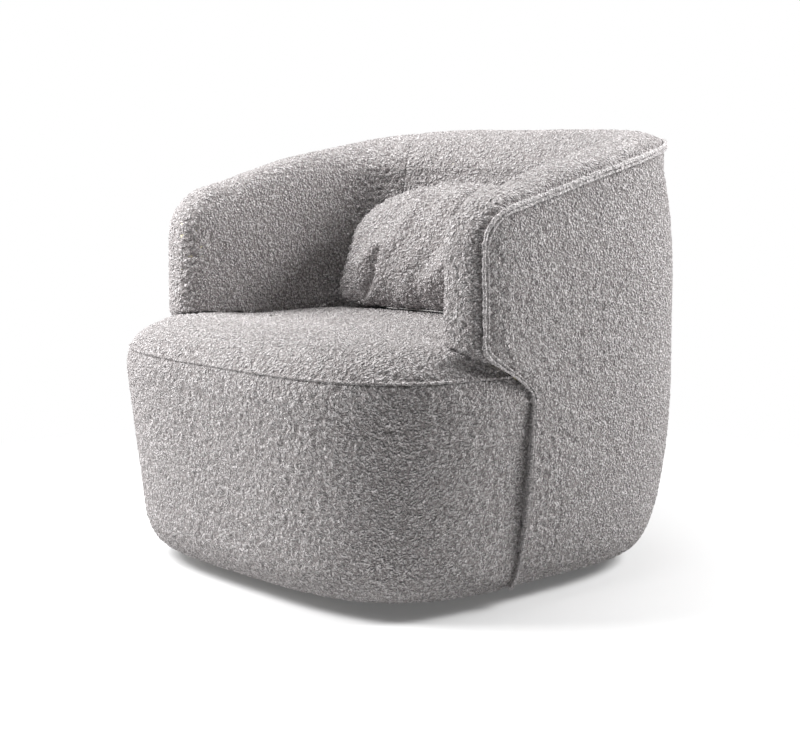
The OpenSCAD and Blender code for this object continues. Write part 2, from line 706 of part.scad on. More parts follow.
module seat_foam() {
    drop = 2 * foam_start;
    clear = foam_start + gap;
    lip = seat_roll_z + 2 * gap + foam_start;
    inner = frame_start + front_taper / 2;
    top = seat_rings(seam_inset + foam_start, clear, drop);
    color("khaki") disc_solid(
        top,
        concat(
            [flat_ring(seam_inset + foam_start, clear, 0, lip), flat_ring(inner, clear + gap, 0, lip),
             flat_ring(inner + gap, clear + 2 * gap, 0, pad_z)],
            [for (s = [1 : len(top) - 3]) flat_ring(inner + gap, clear + 2 * gap, s / len(top), pad_z)]),
        seat_middle(drop), [0, seat_mid_y, pad_z]);
}

// Frame: bottom board, ribs, ring of rails, arm panels, posts and boards

board_inset = shell_under + 10;
// Allowance for a piece of the frame behind a curved board
flat_relief = 3;
rail_taper_share = 0.2;
rail_inset = frame_start + flat_relief + front_taper * rail_taper_share;
plan_steps = 72;
function plan_arc(inset, from, to) = let (n = ceil((to - from) * plan_steps / 360))
    [for (i = [0 : n]) outline(mix(from, to, i / n), inset)];
flange_share = 0.68;
bolt_circle_r = ball_circle_d / 2 + race_flange * flange_share;
screw_circle_r = ball_circle_d / 2 - race_flange * flange_share;
nut_barrel_r = bolt_r + 1;
board_top_z = bottom_z + bottom_t;
rib_top_z = rail_z - rail_t;

module around(count, radius) {
    for (i = [0 : count - 1]) rotate(360 * i / count) translate([radius, 0, 0]) children();
}

module bottom_board() {
    color("burlywood") difference() {
        translate([0, 0, bottom_z]) linear_extrude(bottom_t)
            polygon([for (i = [0 : plan_steps - 1]) outline(360 * i / plan_steps, board_inset)]);
        around(race_bolts, bolt_circle_r) translate([0, 0, bottom_z - over])
            cylinder(r = nut_barrel_r + pin_gap, h = bottom_t + 2 * over, $fn = 32);
    }
}

module dust_cover() {
    color("dimgray") translate([0, 0, bottom_z - gap - dust_t]) linear_extrude(dust_t) difference() {
        polygon([for (i = [0 : plan_steps - 1])
            outline(360 * i / plan_steps, shell_under + turn_under + cover_t)]);
        circle(r = ball_circle_d / 2 + race_flange + cover_t, $fn = 96);
    }
}

// Slab that stands square to the outline at an angle, drawn as inset and height
module slab_at(t, thick) {
    o = outline(t, 0);
    w = outward(t);
    translate([o[0], o[1], 0]) rotate(atan2(-w[1], -w[0])) rotate([90, 0, 0])
        translate([0, 0, -thick / 2]) linear_extrude(thick) children();
}
// How far the outline at an inset lies behind the tangent at an angle
function square_depth(t, inset) = (outline(t, 0) - outline(t, inset)) * outward(t);

rib_angles = [-90, -62, -18, 18, 58, 90, 122, 162, 198, 242];
function rib_outer(t) = let (depth = frame_start + flat_relief)
    t < 0 || t > 180
    ? [for (u = concat(border_curl_shares, [(rib_top_z - skirt_z) / (seat_roll_z - skirt_z)]))
        let (q = front_profile(u), d = front_inward(u) * depth)
        [square_depth(t, q[0] + d[0]), q[1] + d[1]]]
    : [for (s = [for (share = board_row_shares) if (share < 1) share])
        let (z = mix(skirt_z, sweep_top_z - sweep_h, s), d = shell_inward(z) * depth)
        [square_depth(t, shell_inset(z)) + d[0], z + d[1]]];

module base_ribs() {
    color("burlywood") for (t = rib_angles) {
        outer = rib_outer(t);
        inner = board_inset + rib_depth;
        slab_at(t, rib_t) polygon(concat(
            [[inner, board_top_z], [outer[0][0] + 2 * flat_relief, board_top_z]],
            [for (q = outer) if (q[1] < rib_top_z) q],
            [[outer[len(outer) - 1][0], rib_top_z], [inner, rib_top_z]]));
    }
}

rail_joint_angle = 36;
module seat_rail(from, to) {
    color("burlywood") translate([0, 0, rail_z - rail_t]) linear_extrude(rail_t)
        polygon(concat(plan_arc(rail_inset, from, to), reversed(plan_arc(rail_inset + rail_w, from, to))));
}

module seat_rail_front() {
    seat_rail(rail_joint_angle - 180, -rail_joint_angle);
}

module seat_rail_back() {
    seat_rail(rail_joint_angle, 180 - rail_joint_angle);
}

module seat_rail_right() {
    seat_rail(-rail_joint_angle, rail_joint_angle);
}

module seat_rail_left() {
    seat_rail(180 - rail_joint_angle, 180 + rail_joint_angle);
}

module corner_blocks() {
    color("peru") for (x = [-1, 1], y = [-1, 1]) {
        t = rail_joint_angle * y;
        p = outline(t, rail_inset + rail_w / 2);
        translate([x * p[0], p[1], rib_top_z - block_h / 2]) rotate(x * atan2(outward(t)[1], outward(t)[0]))
            cube([block_w, block_w, block_h], center = true);
    }
}

// Webbing is stapled to the rails inside the lining board
web_inset = lining_end + flat_relief;
web_count = 7;
web_pitch = (2 * (half_w - web_inset) - web_w) / (web_count + 1);
function chord_x(y, inset) = let (
        n = y < wide_y ? square_front : square_back,
        d = (y < wide_y ? depth_front : depth_back) - inset)
    (half_w - inset) * pow(1 - pow(abs(y - wide_y) / d, n), 1 / n);
function middle_out(i) = (i - (web_count - 1) / 2) * web_pitch;

module webbing_lengthwise() {
    color("black") for (i = [0 : web_count - 1]) {
        x = middle_out(i);
        far = abs(x) + web_w / 2;
        y0 = chord_y(far, web_inset, false);
        translate([x - web_w / 2, y0, web_low_z])
            cube([web_w, chord_y(far, web_inset, true) - y0, web_t]);
    }
}

module webbing_crosswise() {
    color("black") for (i = [0 : web_count - 1]) {
        y = middle_out(i);
        half = min(chord_x(y - web_w / 2, web_inset), chord_x(y + web_w / 2, web_inset));
        translate([-half, y - web_w / 2, web_high_z]) cube([2 * half, web_w, web_t]);
    }
}

// Flat arm panel: it stands on the rail and reaches forward over the seat block
panel_rear_y = wide_y + arm_reach * 0.4;
panel_front_y = arm_front_y + core_drop;
panel_foot_y = joint_y + welt_w + gap;
panel_step_z = seat_edge_z + seat_crown + foam_start;
function panel_side(y) = outline(angle_at(y), shell_inset(rim_z(y)))[0] - frame_start - gap;
panel_x = min(panel_side(panel_front_y), panel_side(panel_rear_y));
panel_corner_steps = 4;
panel_top_shares = [0.3, 0.65, 1];

module arm_panel() {
    r = arm_corner_r - core_drop;
    cy = arm_front_y + arm_corner_r;
    cz = rim_z(arm_front_y) - arm_corner_r;
    corner = [for (i = [0 : panel_corner_steps])
        let (a = 90 * i / panel_corner_steps) [cy - r * cos(a), cz + r * sin(a)]];
    top = [for (s = panel_top_shares) let (y = mix(cy, panel_rear_y, s)) [y, rim_z(y) - core_drop]];
    color("burlywood") translate([panel_x - arm_panel_t, 0, 0]) rotate([90, 0, 90])
        linear_extrude(arm_panel_t) polygon(concat(
            [[panel_rear_y, rail_z], [panel_foot_y, rail_z], [panel_foot_y, panel_step_z],
             [panel_front_y, panel_step_z]],
            corner, top));
}

module arm_panel_right() {
    arm_panel();
}

module arm_panel_left() {
    mirror([1, 0, 0]) arm_panel();
}

// Rail along the top of the back, between the rear edges of the arm panels
top_rail_t = frame_depth - 10;
module top_rail() {
    first = angle_at(panel_rear_y + 2 * flat_relief);
    start = frame_start + flat_relief;
    rows = [for (low = [0, 1]) [for (depth = [start, start + top_rail_t])
        [for (t = columns_between(first, 180 - first))
            shell_point(t, rim_z(outline(t, 0)[1]) - core_drop - low * top_rail_h, depth)]]];
    color("peru") sheet_solid([rows[1][0], rows[0][0]], [rows[1][1], rows[0][1]]);
}

// Posts from the back rail up to the top rail
post_pair_angles = [33, 62];
post_angles = concat(post_pair_angles, [90]);
post_shares = [0, 0.4, 0.6, 0.8, 1];
module back_posts() {
    color("burlywood") for (side = [0, 1], t = side == 0 ? post_angles : post_pair_angles) {
        low_y = outline(t, 0)[1] - post_w / 2;
        top = rim_z(low_y) - core_drop - top_rail_h - gap;
        levels = [for (s = post_shares) mix(rail_z, top, s)];
        start = frame_start + flat_relief;
        mirror([side, 0, 0]) slab_at(t, post_w) polygon(concat(
            [for (z = levels) [square_depth(t, shell_inset(z)) + start, z]],
            reversed([for (z = levels) [square_depth(t, shell_inset(z)) + start + top_rail_t, z]])));
    }
}

function lining_z(row, rim) = row == 0 ? rim - core_drop
    : let (share = row == 1 ? 0 : wall_row_shares[row - 2])
        row < len(wall_row_shares) + 2
        ? mix(rim + core(ups - 1)[0], low_back_z, share)
        : rail_z + gap;
module lining_board() {
    first = angle_at(panel_foot_y);
    // Its rows are those of the padding's inside
    grids = [for (depth = [lining_start, lining_end])
        [for (r = [0 : len(wall_row_shares) + 2])
            [for (t = columns_between(first, 180 - first))
                shell_point(t, lining_z(r, rim_z(outline(t, 0)[1])), depth)]]];
    color("burlywood") sheet_solid(grids[1], grids[0]);
}

// Base and swivel: a plinth on glides, and a ball race with a caged ring of balls

plinth_z = glide_t;
lower_race_z = glide_t + plinth_t;
upper_race_z = bottom_z - race_t;
ball_z = (lower_race_z + bottom_z) / 2;
ball_circle_r = ball_circle_d / 2;
cage_half_w = ball_d * 0.85;
screw_head_r = screw_r * 2.1;
screw_head_h = race_t * 0.4;
bolt_head_r = bolt_r * 1.7;
bolt_head_h = race_t * 0.7;

module base_plinth() {
    color("black") difference() {
        translate([0, 0, plinth_z]) cylinder(d = plinth_d, h = plinth_t, $fn = 96);
        around(race_bolts, screw_circle_r) translate([0, 0, plinth_z - over])
            cylinder(r = screw_r + pin_gap, h = plinth_t + 2 * over, $fn = 32);
    }
}

module felt_glides() {
    color("dimgray") around(glide_count, glide_r) cylinder(d = glide_d, h = glide_t, $fn = 48);
}

module race(inner, outer, low_z, bolt_circle, hole_r) {
    color("silver") difference() {
        translate([0, 0, low_z]) cylinder(r = outer, h = race_t, $fn = 96);
        translate([0, 0, low_z - over]) cylinder(r = inner, h = race_t + 2 * over, $fn = 96);
        translate([0, 0, ball_z]) rotate_extrude($fn = 96) translate([ball_circle_r, 0])
            circle(r = ball_d / 2 + ball_gap, $fn = 32);
        around(race_bolts, bolt_circle) translate([0, 0, low_z - over])
            cylinder(r = hole_r + pin_gap, h = race_t + 2 * over, $fn = 32);
    }
}

module lower_race() {
    race(ball_circle_r - race_flange, ball_circle_r + race_lip, lower_race_z, screw_circle_r, screw_r);
}

module upper_race() {
    race(ball_circle_r - race_lip, ball_circle_r + race_flange, upper_race_z, bolt_circle_r, bolt_r);
}

module ball_cage() {
    h = bearing_h - 2 * race_t - 2 * gap;
    color("gold") difference() {
        translate([0, 0, ball_z - h / 2]) cylinder(r = ball_circle_r + cage_half_w, h = h, $fn = 96);
        translate([0, 0, ball_z - h / 2 - over])
            cylinder(r = ball_circle_r - cage_half_w, h = h + 2 * over, $fn = 96);
        around(ball_count, ball_circle_r) translate([0, 0, ball_z - h])
            cylinder(r = ball_d / 2 + pin_gap, h = 2 * h, $fn = 32);
    }
}

module bearing_balls() {
    color("silver") around(ball_count, ball_circle_r) translate([0, 0, ball_z]) sphere(d = ball_d, $fn = 24);
}

module base_screws() {
    color("silver") around(race_bolts, screw_circle_r) {
        translate([0, 0, plinth_z + screw_r])
            cylinder(r = screw_r, h = plinth_t + race_t - screw_r, $fn = 32);
        translate([0, 0, lower_race_z + race_t]) cylinder(r = screw_head_r, h = screw_head_h, $fn = 32);
    }
}

module swivel_bolts() {
    top = board_top_z + nut_flange_t + bolt_r;
    color("silver") around(race_bolts, bolt_circle_r) {
        translate([0, 0, upper_race_z]) cylinder(r = bolt_r, h = top - upper_race_z, $fn = 32);
        translate([0, 0, upper_race_z - bolt_head_h]) cylinder(r = bolt_head_r, h = bolt_head_h, $fn = 32);
    }
}

nut_flange_t = 1.5;
nut_flange_r = bolt_r * 3;
module tee_nuts() {
    color("silver") around(race_bolts, bolt_circle_r) difference() {
        union() {
            translate([0, 0, board_top_z - bottom_t / 2])
                cylinder(r = nut_barrel_r, h = bottom_t / 2, $fn = 32);
            translate([0, 0, board_top_z]) cylinder(r = nut_flange_r, h = nut_flange_t, $fn = 32);
        }
        translate([0, 0, board_top_z - bottom_t]) cylinder(r = bolt_r + ball_gap, h = 2 * bottom_t, $fn = 32);
    }
}

// Lumbar pillow: two sewn panels over a fill, with a zip in the lower seam

pillow_cols = 32;
// How far out the pillow stays thick, and how it thins towards its seam
swell_reach = 2.5;
swell_fall = 0.8;
zip_share = 0.5;
zip_w = 5;
zip_t = 1.5;
zip_steps = 10;
// How square the pillow's outline is above and below its middle
pillow_square_top = 2.1;
pillow_square_low = 6.5;
// Share by which the sides draw in between the corners
pillow_draw_share = 0.05;
pillow_ring_shares = [1, 0.985, 0.94, 0.86, 0.74, 0.56, 0.3];
// The pillow's thickest place lies just in front of the back's inner face
pillow_mid_z = seat_edge_z + pillow_h / 2 * cos(pillow_lean) - pillow_t / 2 * sin(pillow_lean);
pillow_low_y = wide_y + depth_back - back_depth(pillow_mid_z)
    - pillow_clear - pillow_t / 2 * cos(pillow_lean) - pillow_h / 2 * sin(pillow_lean);
pillow_low_z = seat_edge_z + seat_crown + zip_t + 2 * gap
    - pillow_h / 2 * pillow_draw_share * (1 - zip_share * zip_share);
// A place on a pillow whose cloth lies thick deeper: share outwards, angle, side of the seam
function pillow_point(share, a, side, thick) = let (
        e = 2 / (sin(a) < 0 ? pillow_square_low : pillow_square_top),
        u = signed_pow(cos(a), e), v = signed_pow(sin(a), e),
        w = pillow_w / 2 - thick, h = pillow_h / 2 - thick,
        x = share * u * w * (1 - pillow_draw_share * (1 - v * v)),
        up = share * v * h * (1 - pillow_draw_share * (1 - u * u)),
        swell = (pillow_t / 2 - thick) * pow(1 - pow(share, swell_reach), swell_fall),
        n = side * (swell + gap / 2))
    pillow_place(x, up, n);
function pillow_place(x, up, n) = let (
        v = up + pillow_h / 2,
        c = cos(pillow_lean), s = sin(pillow_lean))
    [x, pillow_low_y + v * s - n * c - pillow_bend * pow(2 * x / pillow_w, 2), pillow_low_z + v * c + n * s];
// Angles at which the columns stand evenly round the pillow's squarish outline
pillow_angles = [for (i = [0 : pillow_cols - 1])
    let (a = 360 * i / pillow_cols, n = a > 180 ? pillow_square_low : pillow_square_top)
    atan2(signed_pow(sin(a), n / 2), signed_pow(cos(a), n / 2))];
function pillow_rings(side, thick) = [for (s = pillow_ring_shares)
    [for (a = pillow_angles) pillow_point(s, a, side, thick)]];
function pillow_middle(side, thick) = pillow_point(0, 0, side, thick);

module pillow_panel(side) {
    color("silver") if (side > 0)
        disc_solid(pillow_rings(side, 0), pillow_rings(side, cover_t),
            pillow_middle(side, 0), pillow_middle(side, cover_t));
    else
        disc_solid(pillow_rings(side, cover_t), pillow_rings(side, 0),
            pillow_middle(side, cover_t), pillow_middle(side, 0));
}

module pillow_front_panel() {
    pillow_panel(1);
}

module pillow_back_panel() {
    pillow_panel(-1);
}

module pillow_fill() {
    inner = cover_t + gap;
    color("white") disc_solid(pillow_rings(1, inner), pillow_rings(-1, inner),
        pillow_middle(1, inner), pillow_middle(-1, inner));
}

module pillow_zip() {
    edge = pillow_h / 2 * (1 - pillow_draw_share);
    rows = [for (n = [-zip_w / 2, zip_w / 2]) [for (out = [gap, gap + zip_t])
        [for (i = [0 : zip_steps])
            let (x = mix(-0.5, 0.5, i / zip_steps) * zip_share * pillow_w,
                a = -90 + asin(signed_pow(2 * x / pillow_w, pillow_square_low / 2)),
                p = pillow_point(1, a, 1, -out))
            p + pillow_place(0, 0, n) - pillow_place(0, 0, 0)]]];
    color("gray") sheet_solid([rows[1][0], rows[0][0]], [rows[1][1], rows[0][1]]);
}

base_plinth();
felt_glides();
lower_race();
base_screws();
ball_cage();
bearing_balls();
upper_race();
swivel_bolts();
tee_nuts();
bottom_board();
dust_cover();
base_ribs();
seat_rail_front();
seat_rail_back();
seat_rail_right();
seat_rail_left();
corner_blocks();
webbing_lengthwise();
webbing_crosswise();
arm_panel_right();
arm_panel_left();
back_posts();
top_rail();
outer_board();
front_board();
lining_board();
outer_foam();
seat_foam();
border_foam();
arm_foam_right();
arm_foam_left();
back_foam();
seat_cover();
border_cover();
outer_cover();
arm_cover_right();
arm_cover_left();
back_cover();
rim_welt();
pillow_front_panel();
pillow_back_panel();
pillow_fill();
pillow_zip();
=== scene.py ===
"""Looks of the upholstered swivel tub chair: covers, welt, pillow, foams, finishes, studio and camera.

Sizes are in millimetres until a mesh is made, and in metres from there on. Points lie in the frame of the
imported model: the origin on the floor at the swivel's axis, +Z up, and the sitter facing -Y.
"""

import json
import logging
import math
from dataclasses import dataclass
from enum import Enum

import bpy
import numpy as np
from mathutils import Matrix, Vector

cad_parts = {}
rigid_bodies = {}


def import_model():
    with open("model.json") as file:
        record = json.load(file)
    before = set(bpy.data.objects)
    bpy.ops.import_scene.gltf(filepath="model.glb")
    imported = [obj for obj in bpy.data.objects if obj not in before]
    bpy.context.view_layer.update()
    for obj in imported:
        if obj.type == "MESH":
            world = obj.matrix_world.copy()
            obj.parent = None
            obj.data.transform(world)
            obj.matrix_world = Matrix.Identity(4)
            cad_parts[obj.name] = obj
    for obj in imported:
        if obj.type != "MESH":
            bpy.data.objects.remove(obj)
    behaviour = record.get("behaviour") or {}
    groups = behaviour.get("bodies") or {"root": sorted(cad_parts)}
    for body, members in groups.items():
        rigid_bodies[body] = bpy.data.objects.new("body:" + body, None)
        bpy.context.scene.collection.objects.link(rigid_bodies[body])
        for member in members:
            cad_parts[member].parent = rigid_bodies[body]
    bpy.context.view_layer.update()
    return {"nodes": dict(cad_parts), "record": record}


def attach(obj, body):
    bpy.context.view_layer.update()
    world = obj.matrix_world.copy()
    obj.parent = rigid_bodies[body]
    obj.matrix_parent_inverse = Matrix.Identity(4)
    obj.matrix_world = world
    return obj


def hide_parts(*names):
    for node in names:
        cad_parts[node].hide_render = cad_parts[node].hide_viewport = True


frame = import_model()

Array = np.ndarray
log = logging.getLogger("tub_chair")
MM = 0.001
# Spacing of the points on the covers, in millimetres
STEP = 2.9


class Slot(Enum):
    """Material slots of the record that new pieces take their finish from."""

    BOUCLE = "boucle"
    FOAM = "foam"
    FILL = "fill"


class Side(Enum):
    """Sides of the chair, as the sign of X."""

    RIGHT = 1
    LEFT = -1

    @property
    def word(self) -> str:
        """Returns the side's word in node names."""
        return self.name.lower()


def signed_power(value: Array, exponent: Array) -> Array:
    """Raises the size of a value to a power and keeps its sign."""
    return np.sign(value) * np.abs(value) ** exponent


def mix(low: Array, high: Array, share: Array) -> Array:
    """Returns the value a share of the way from low to high."""
    return low + (high - low) * share


def clamp(value: Array) -> Array:
    """Limits a value to the range from 0 to 1."""
    return np.clip(value, 0.0, 1.0)


def smooth(value: Array) -> Array:
    """Eases a value from 0 to 1 with level ends."""
    share = clamp(value)
    return share * share * (3 - 2 * share)


def bell(distance: Array, width: Array) -> Array:
    """Returns a bump of height 1 whose sides fall off over a width."""
    return np.exp(-((distance / width) ** 2))


def unit(vectors: Array) -> Array:
    """Scales vectors to a length of 1."""
    return vectors / np.maximum(np.linalg.norm(vectors, axis=-1, keepdims=True), 1e-9)


def run_along(line: Array) -> Array:
    """Returns each point's distance from the first one, along a line with a point in each row."""
    return np.concatenate([[0.0], np.cumsum(np.linalg.norm(np.diff(line, axis=0), axis=1))])


def closed(rings: Array) -> Array:
    """Repeats the first column after the last one, so that each row is a closed ring."""
    return np.concatenate([rings, rings[:, :1]], 1)


def evenly(line: Array, step: float) -> Array:
    """Finds even places along a line.

    Args:
        line: Points of the line, one in each row.
        step: Greatest distance between two places.

    Returns:
        Positions in units of the line's own rows, from 0 to its last row.
    """
    run = run_along(line)
    count = int(math.ceil(run[-1] / step)) + 1
    return np.interp(np.linspace(0, run[-1], count), run, np.arange(len(line)))


def at_rows(values: Array, places: Array) -> Array:
    """Reads values between their rows at the given places."""
    rows = np.arange(len(values))
    if values.ndim == 1:
        return np.interp(places, rows, values)
    return np.stack([np.interp(places, rows, values[:, k]) for k in range(values.shape[1])], -1)


@dataclass(frozen=True)
class ChairForm:
    """Main sizes and surfaces of the chair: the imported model's, with softer arm fronts and seat edge."""

    half_w: float = 430.0
    depth_front: float = 410.0
    depth_back: float = 450.0
    wide_y: float = -20.0
    square_front: float = 3.5
    square_back: float = 3.15
    square_arm: float = 5.0
    skirt_z: float = 25.0
    seam_z: float = 383.0
    seat_roll_z: float = 345.0
    seat_roll_h: float = 83.0
    seat_roll_w: float = 88.0
    seat_roll_square: float = 2.5
    seat_crown: float = 6.0
    rim_arm_z: float = 631.0
    rim_back_z: float = 756.0
    rim_rise_shape: float = 1.335
    front_taper: float = 31.0
    front_under: float = 30.0
    front_under_h: float = 66.0
    shell_under: float = 68.0
    shell_under_z: float = 363.0
    shell_under_shape: float = 2.27
    lean: float = 18.0
    lean_z: float = 500.0
    lean_h: float = 200.0
    arm_t: float = 104.0
    back_t: float = 160.0
    back_slope: float = math.radians(16)
    arm_front_y: float = -211.0
    joint_y: float = -112.0
    sweep_top_z: float = 437.0
    sweep_h: float = 92.0
    arm_corner_r: float = 50.0
    crest_in: float = 60.0
    crest_up: float = 30.0
    crest_up_back: float = 19.0
    crest_fall: float = 292.5
    crest_drop: float = 87.0
    front_in: float = 52.0
    front_up: float = 25.0
    front_drop: float = 100.0
    front_run: float = 90.0
    rim_square: float = 2.2
    front_turn: float = 8.0
    front_turn_run: float = 52.0
    front_turn_shape: float = 1.6
    bulge_h: float = 5.0
    bulge_x: float = 338.0
    bulge_y: float = -205.0
    bulge_r: float = 58.0
    arm_foot: float = 428.2
    arm_foot_drop: float = 23.0
    arm_foot_run: float = 75.0
    press_gap: float = 1.0
    press_from: float = 12.0
    press_run: float = 14.0
    press_front_y: float = -300.0
    press_front_run: float = 70.0
    press_rear_gap: float = 8.0
    press_rear_run: float = 25.0
    seam_angle: float = math.radians(52.5)

    def outline(self, angle: Array, inset: Array = 0.0) -> Array:
        """Returns plan points of the outline; angle 0 is the right side and a quarter turn the back."""
        front = np.sin(angle) < 0
        e = np.where(front, 2 / self.square_front, 2 / self.square_back)
        depth = np.where(front, self.depth_front, self.depth_back)
        x = (self.half_w - inset) * signed_power(np.cos(angle), e)
        y = self.wide_y + (depth - inset) * signed_power(np.sin(angle), e)
        return np.stack([x, y], -1)

    def angle_at(self, y: Array, inset: Array = 0.0) -> Array:
        """Returns the right side's angle at which the outline has a given Y."""
        front = y < self.wide_y
        depth = np.where(front, self.depth_front, self.depth_back) - inset
        n = np.where(front, self.square_front, self.square_back)
        return np.arcsin(np.clip(signed_power((y - self.wide_y) / depth, n / 2), -1, 1))

    def shell_inset(self, z: Array) -> Array:
        """Returns how far the shell lies inside the outline at a height."""
        k = clamp((self.shell_under_z - z) / (self.shell_under_z - self.skirt_z))
        q = self.shell_under_shape
        lean = clamp((z - self.lean_z) / self.lean_h)
        return self.shell_under * (1 - (1 - k**q) ** (1 / q)) + self.lean * lean * lean

    def front_profile(self, u: Array) -> tuple[Array, Array]:
        """Returns the inset and height of the seat block: u climbs the border to 1, then rolls over to 2."""
        low = np.minimum(u, 1.0)
        z = mix(self.skirt_z, self.seat_roll_z, low)
        k = clamp((self.skirt_z + self.front_under_h - z) / self.front_under_h)
        inset = self.front_taper * (1 - low) + self.front_under * (1 - np.sqrt(1 - k * k))
        a, e = math.pi / 2 * np.maximum(u - 1, 0), 2 / self.seat_roll_square
        inset = inset + self.seat_roll_w * (1 - signed_power(np.cos(a), e))
        return inset, z + self.seat_roll_h * signed_power(np.sin(a), e)

    @property
    def seam_u(self) -> float:
        """Returns the place of the seat's seam on the front's profile."""
        share = (self.seam_z - self.seat_roll_z) / self.seat_roll_h
        return 1 + math.asin(share ** (self.seat_roll_square / 2)) / (math.pi / 2)

    def welt_y(self, z: Array) -> Array:
        """Returns the Y of the welt on the arm's front and of the joint under it."""
        return mix(self.arm_front_y, self.joint_y, smooth((self.sweep_top_z - z) / self.sweep_h))

    def rim_z(self, y: Array) -> Array:
        """Returns the height of the welt along the rim."""
        run = self.wide_y + self.depth_back - self.arm_front_y
        u = clamp((y - self.arm_front_y) / run)
        return mix(self.rim_arm_z, self.rim_back_z, 1 - (1 - u) ** self.rim_rise_shape)

    def edge_z(self, y: Array, edge: float) -> Array:
        """Returns the height of the shell's upper edge, which turns the arm's front corner."""
        r = self.arm_corner_r - edge
        k = clamp((self.arm_front_y + self.arm_corner_r - y) / r)
        return self.rim_z(y) - edge - r * (1 - np.sqrt(1 - k * k))

    def wall_t(self, angle: Array) -> Array:
        """Returns the padding's thickness over the plan angle."""
        return np.where(angle <= 0, self.arm_t, mix(self.arm_t, self.back_t, np.sin(angle) ** 2))

    def arm_outline(self, angle: Array) -> Array:
        """Returns the arm's straighter outline at the Y of a plan angle."""
        y = self.outline(angle)[..., 1]
        v = clamp((self.wide_y - y) / self.depth_front)
        n = self.square_arm
        near = clamp((self.arm_front_y + self.front_turn_run - y) / self.front_turn_run)
        turn = self.front_turn * near**self.front_turn_shape
        return np.stack([self.half_w * (1 - v**n) ** (1 / n) - turn, y], -1)

    def bulge(self, x: Array, y: Array) -> Array:
        """Returns how far the seat is squeezed up beside the arms' front ends."""
        return self.bulge_h * bell(np.hypot(np.abs(x) - self.bulge_x, y - self.bulge_y), self.bulge_r)

    def outward(self, angle: Array) -> Array:
        """Returns the plan's outward normal on the back half."""
        e = 2 * (self.square_back - 1) / self.square_back
        v = [signed_power(np.cos(angle), e) / self.half_w, signed_power(np.sin(angle), e) / self.depth_back]
        return unit(np.stack(v, -1))

    def shell_point(self, angle: Array, z: Array, depth: Array = 0.0) -> Array:
        """Returns points at a depth under the shell's outer surface, on the right side."""
        angle, z, depth = np.broadcast_arrays(angle, z, depth)
        inset = self.shell_inset(z)
        arm = self.arm_outline(angle) - np.stack([inset + depth, 0 * depth], -1)
        back = self.outline(angle, inset) - depth[..., None] * self.outward(angle)
        return np.concatenate([np.where(angle[..., None] <= 0, arm, back), z[..., None]], -1)

    def back_depth(self, z: Array) -> Array:
        """Returns the depth of the back's leaning inner face at a height."""
        top = self.rim_back_z + self.crest_up_back - self.crest_drop
        low = self.seat_roll_z + self.seat_roll_h
        return self.back_t + math.tan(self.back_slope) * (top - np.clip(z, low, top))

    def wall_point(self, angle: Array, z: Array, depth: Array) -> Array:
        """Returns points of the padding at a depth, on the right side."""
        angle, z, depth = np.broadcast_arrays(angle, z, depth)
        e, lean = 2 / self.square_back, self.shell_inset(z)
        inner = np.stack(
            [
                (self.half_w - lean - self.arm_t) * signed_power(np.cos(angle), e),
                self.wide_y + (self.depth_back - lean - self.back_depth(z)) * signed_power(np.sin(angle), e),
            ],
            -1,
        )
        back = mix(self.outline(angle, lean), inner, (depth / self.wall_t(angle))[..., None])
        back = np.concatenate([back, z[..., None]], -1)
        return np.where(angle[..., None] <= 0, self.shell_point(angle, z, depth), back)

    def roll(self, turn: Array, thick: Array, y: Array) -> tuple[Array, Array]:
        """Returns the rim's padded roll: how far it stands beyond the welt, and its depth.

        Args:
            turn: 0 at the welt, a quarter turn at the crest and a half turn where the inner face is straight.
            thick: Thickness of the padding.
            y: Place along the rim, which the arm's front continues with the same section.
        """
        e = 2 / self.rim_square
        sine, cosine = np.sin(turn), np.cos(turn)
        along = smooth((y - self.arm_front_y - self.front_drop + self.front_up) / self.front_run)
        rise = mix(self.crest_up, self.crest_up_back, smooth((y - self.wide_y) / self.crest_fall))
        rise = mix(self.front_up, rise, along)
        crest = mix(self.front_in, self.crest_in, along)
        drop = mix(self.front_drop, self.crest_drop, along)
        up = np.where(turn <= math.pi / 2, rise * signed_power(sine, e), rise - drop * (1 - sine))
        outer = crest * (1 - signed_power(cosine, e))
        inner = crest - (thick - crest) * cosine
        return up, np.where(turn <= math.pi / 2, outer, inner)

    def seat_z(self, x: Array, y: Array) -> Array:
        """Returns the height of the seat's crowned top over the plan."""
        front = y < self.wide_y
        n = np.where(front, self.square_front, self.square_back)
        depth = np.where(front, self.depth_front, self.depth_back)
        gauge = ((np.abs(x) / self.half_w) ** n + (np.abs(y - self.wide_y) / depth) ** n) ** (1 / n)
        k = clamp((self.seat_roll_w - self.half_w * (1 - gauge)) / self.seat_roll_w)
        flat = clamp(gauge / (1 - self.seat_roll_w / self.half_w))
        q = self.seat_roll_square
        z = self.seat_roll_z + self.seat_roll_h * (1 - k**q) ** (1 / q) + self.seat_crown * (1 - flat * flat)
        return self.pressed(x, y, z + self.bulge(x, y), self.half_w * (1 - gauge))

    def pressed(self, x: Array, y: Array, z: Array, inset: Array) -> Array:
        """Returns the seat's height where its soft edge fills the space under the arms' front ends."""
        v = clamp((self.wide_y - y) / self.depth_front)
        depth = self.half_w * (1 - v**self.square_arm) ** (1 / self.square_arm) - np.abs(x)
        under = self.under_arm(depth) + self.bulge(x, y) - self.press_gap
        share = smooth((inset - self.press_from) / self.press_run)
        share = share * smooth((y - self.press_front_y) / self.press_front_run)
        share = share * smooth((self.joint_y - self.press_rear_gap - y) / self.press_rear_run)
        return mix(z, np.maximum(z, under), share)

    def under_arm(self, depth: Array) -> Array:
        """Returns the height of the arm's underside in front of the joint, by the depth from the shell."""
        return self.arm_foot - self.arm_foot_drop * (1 - clamp(depth / self.arm_foot_run)) ** 2


FORM = ChairForm()


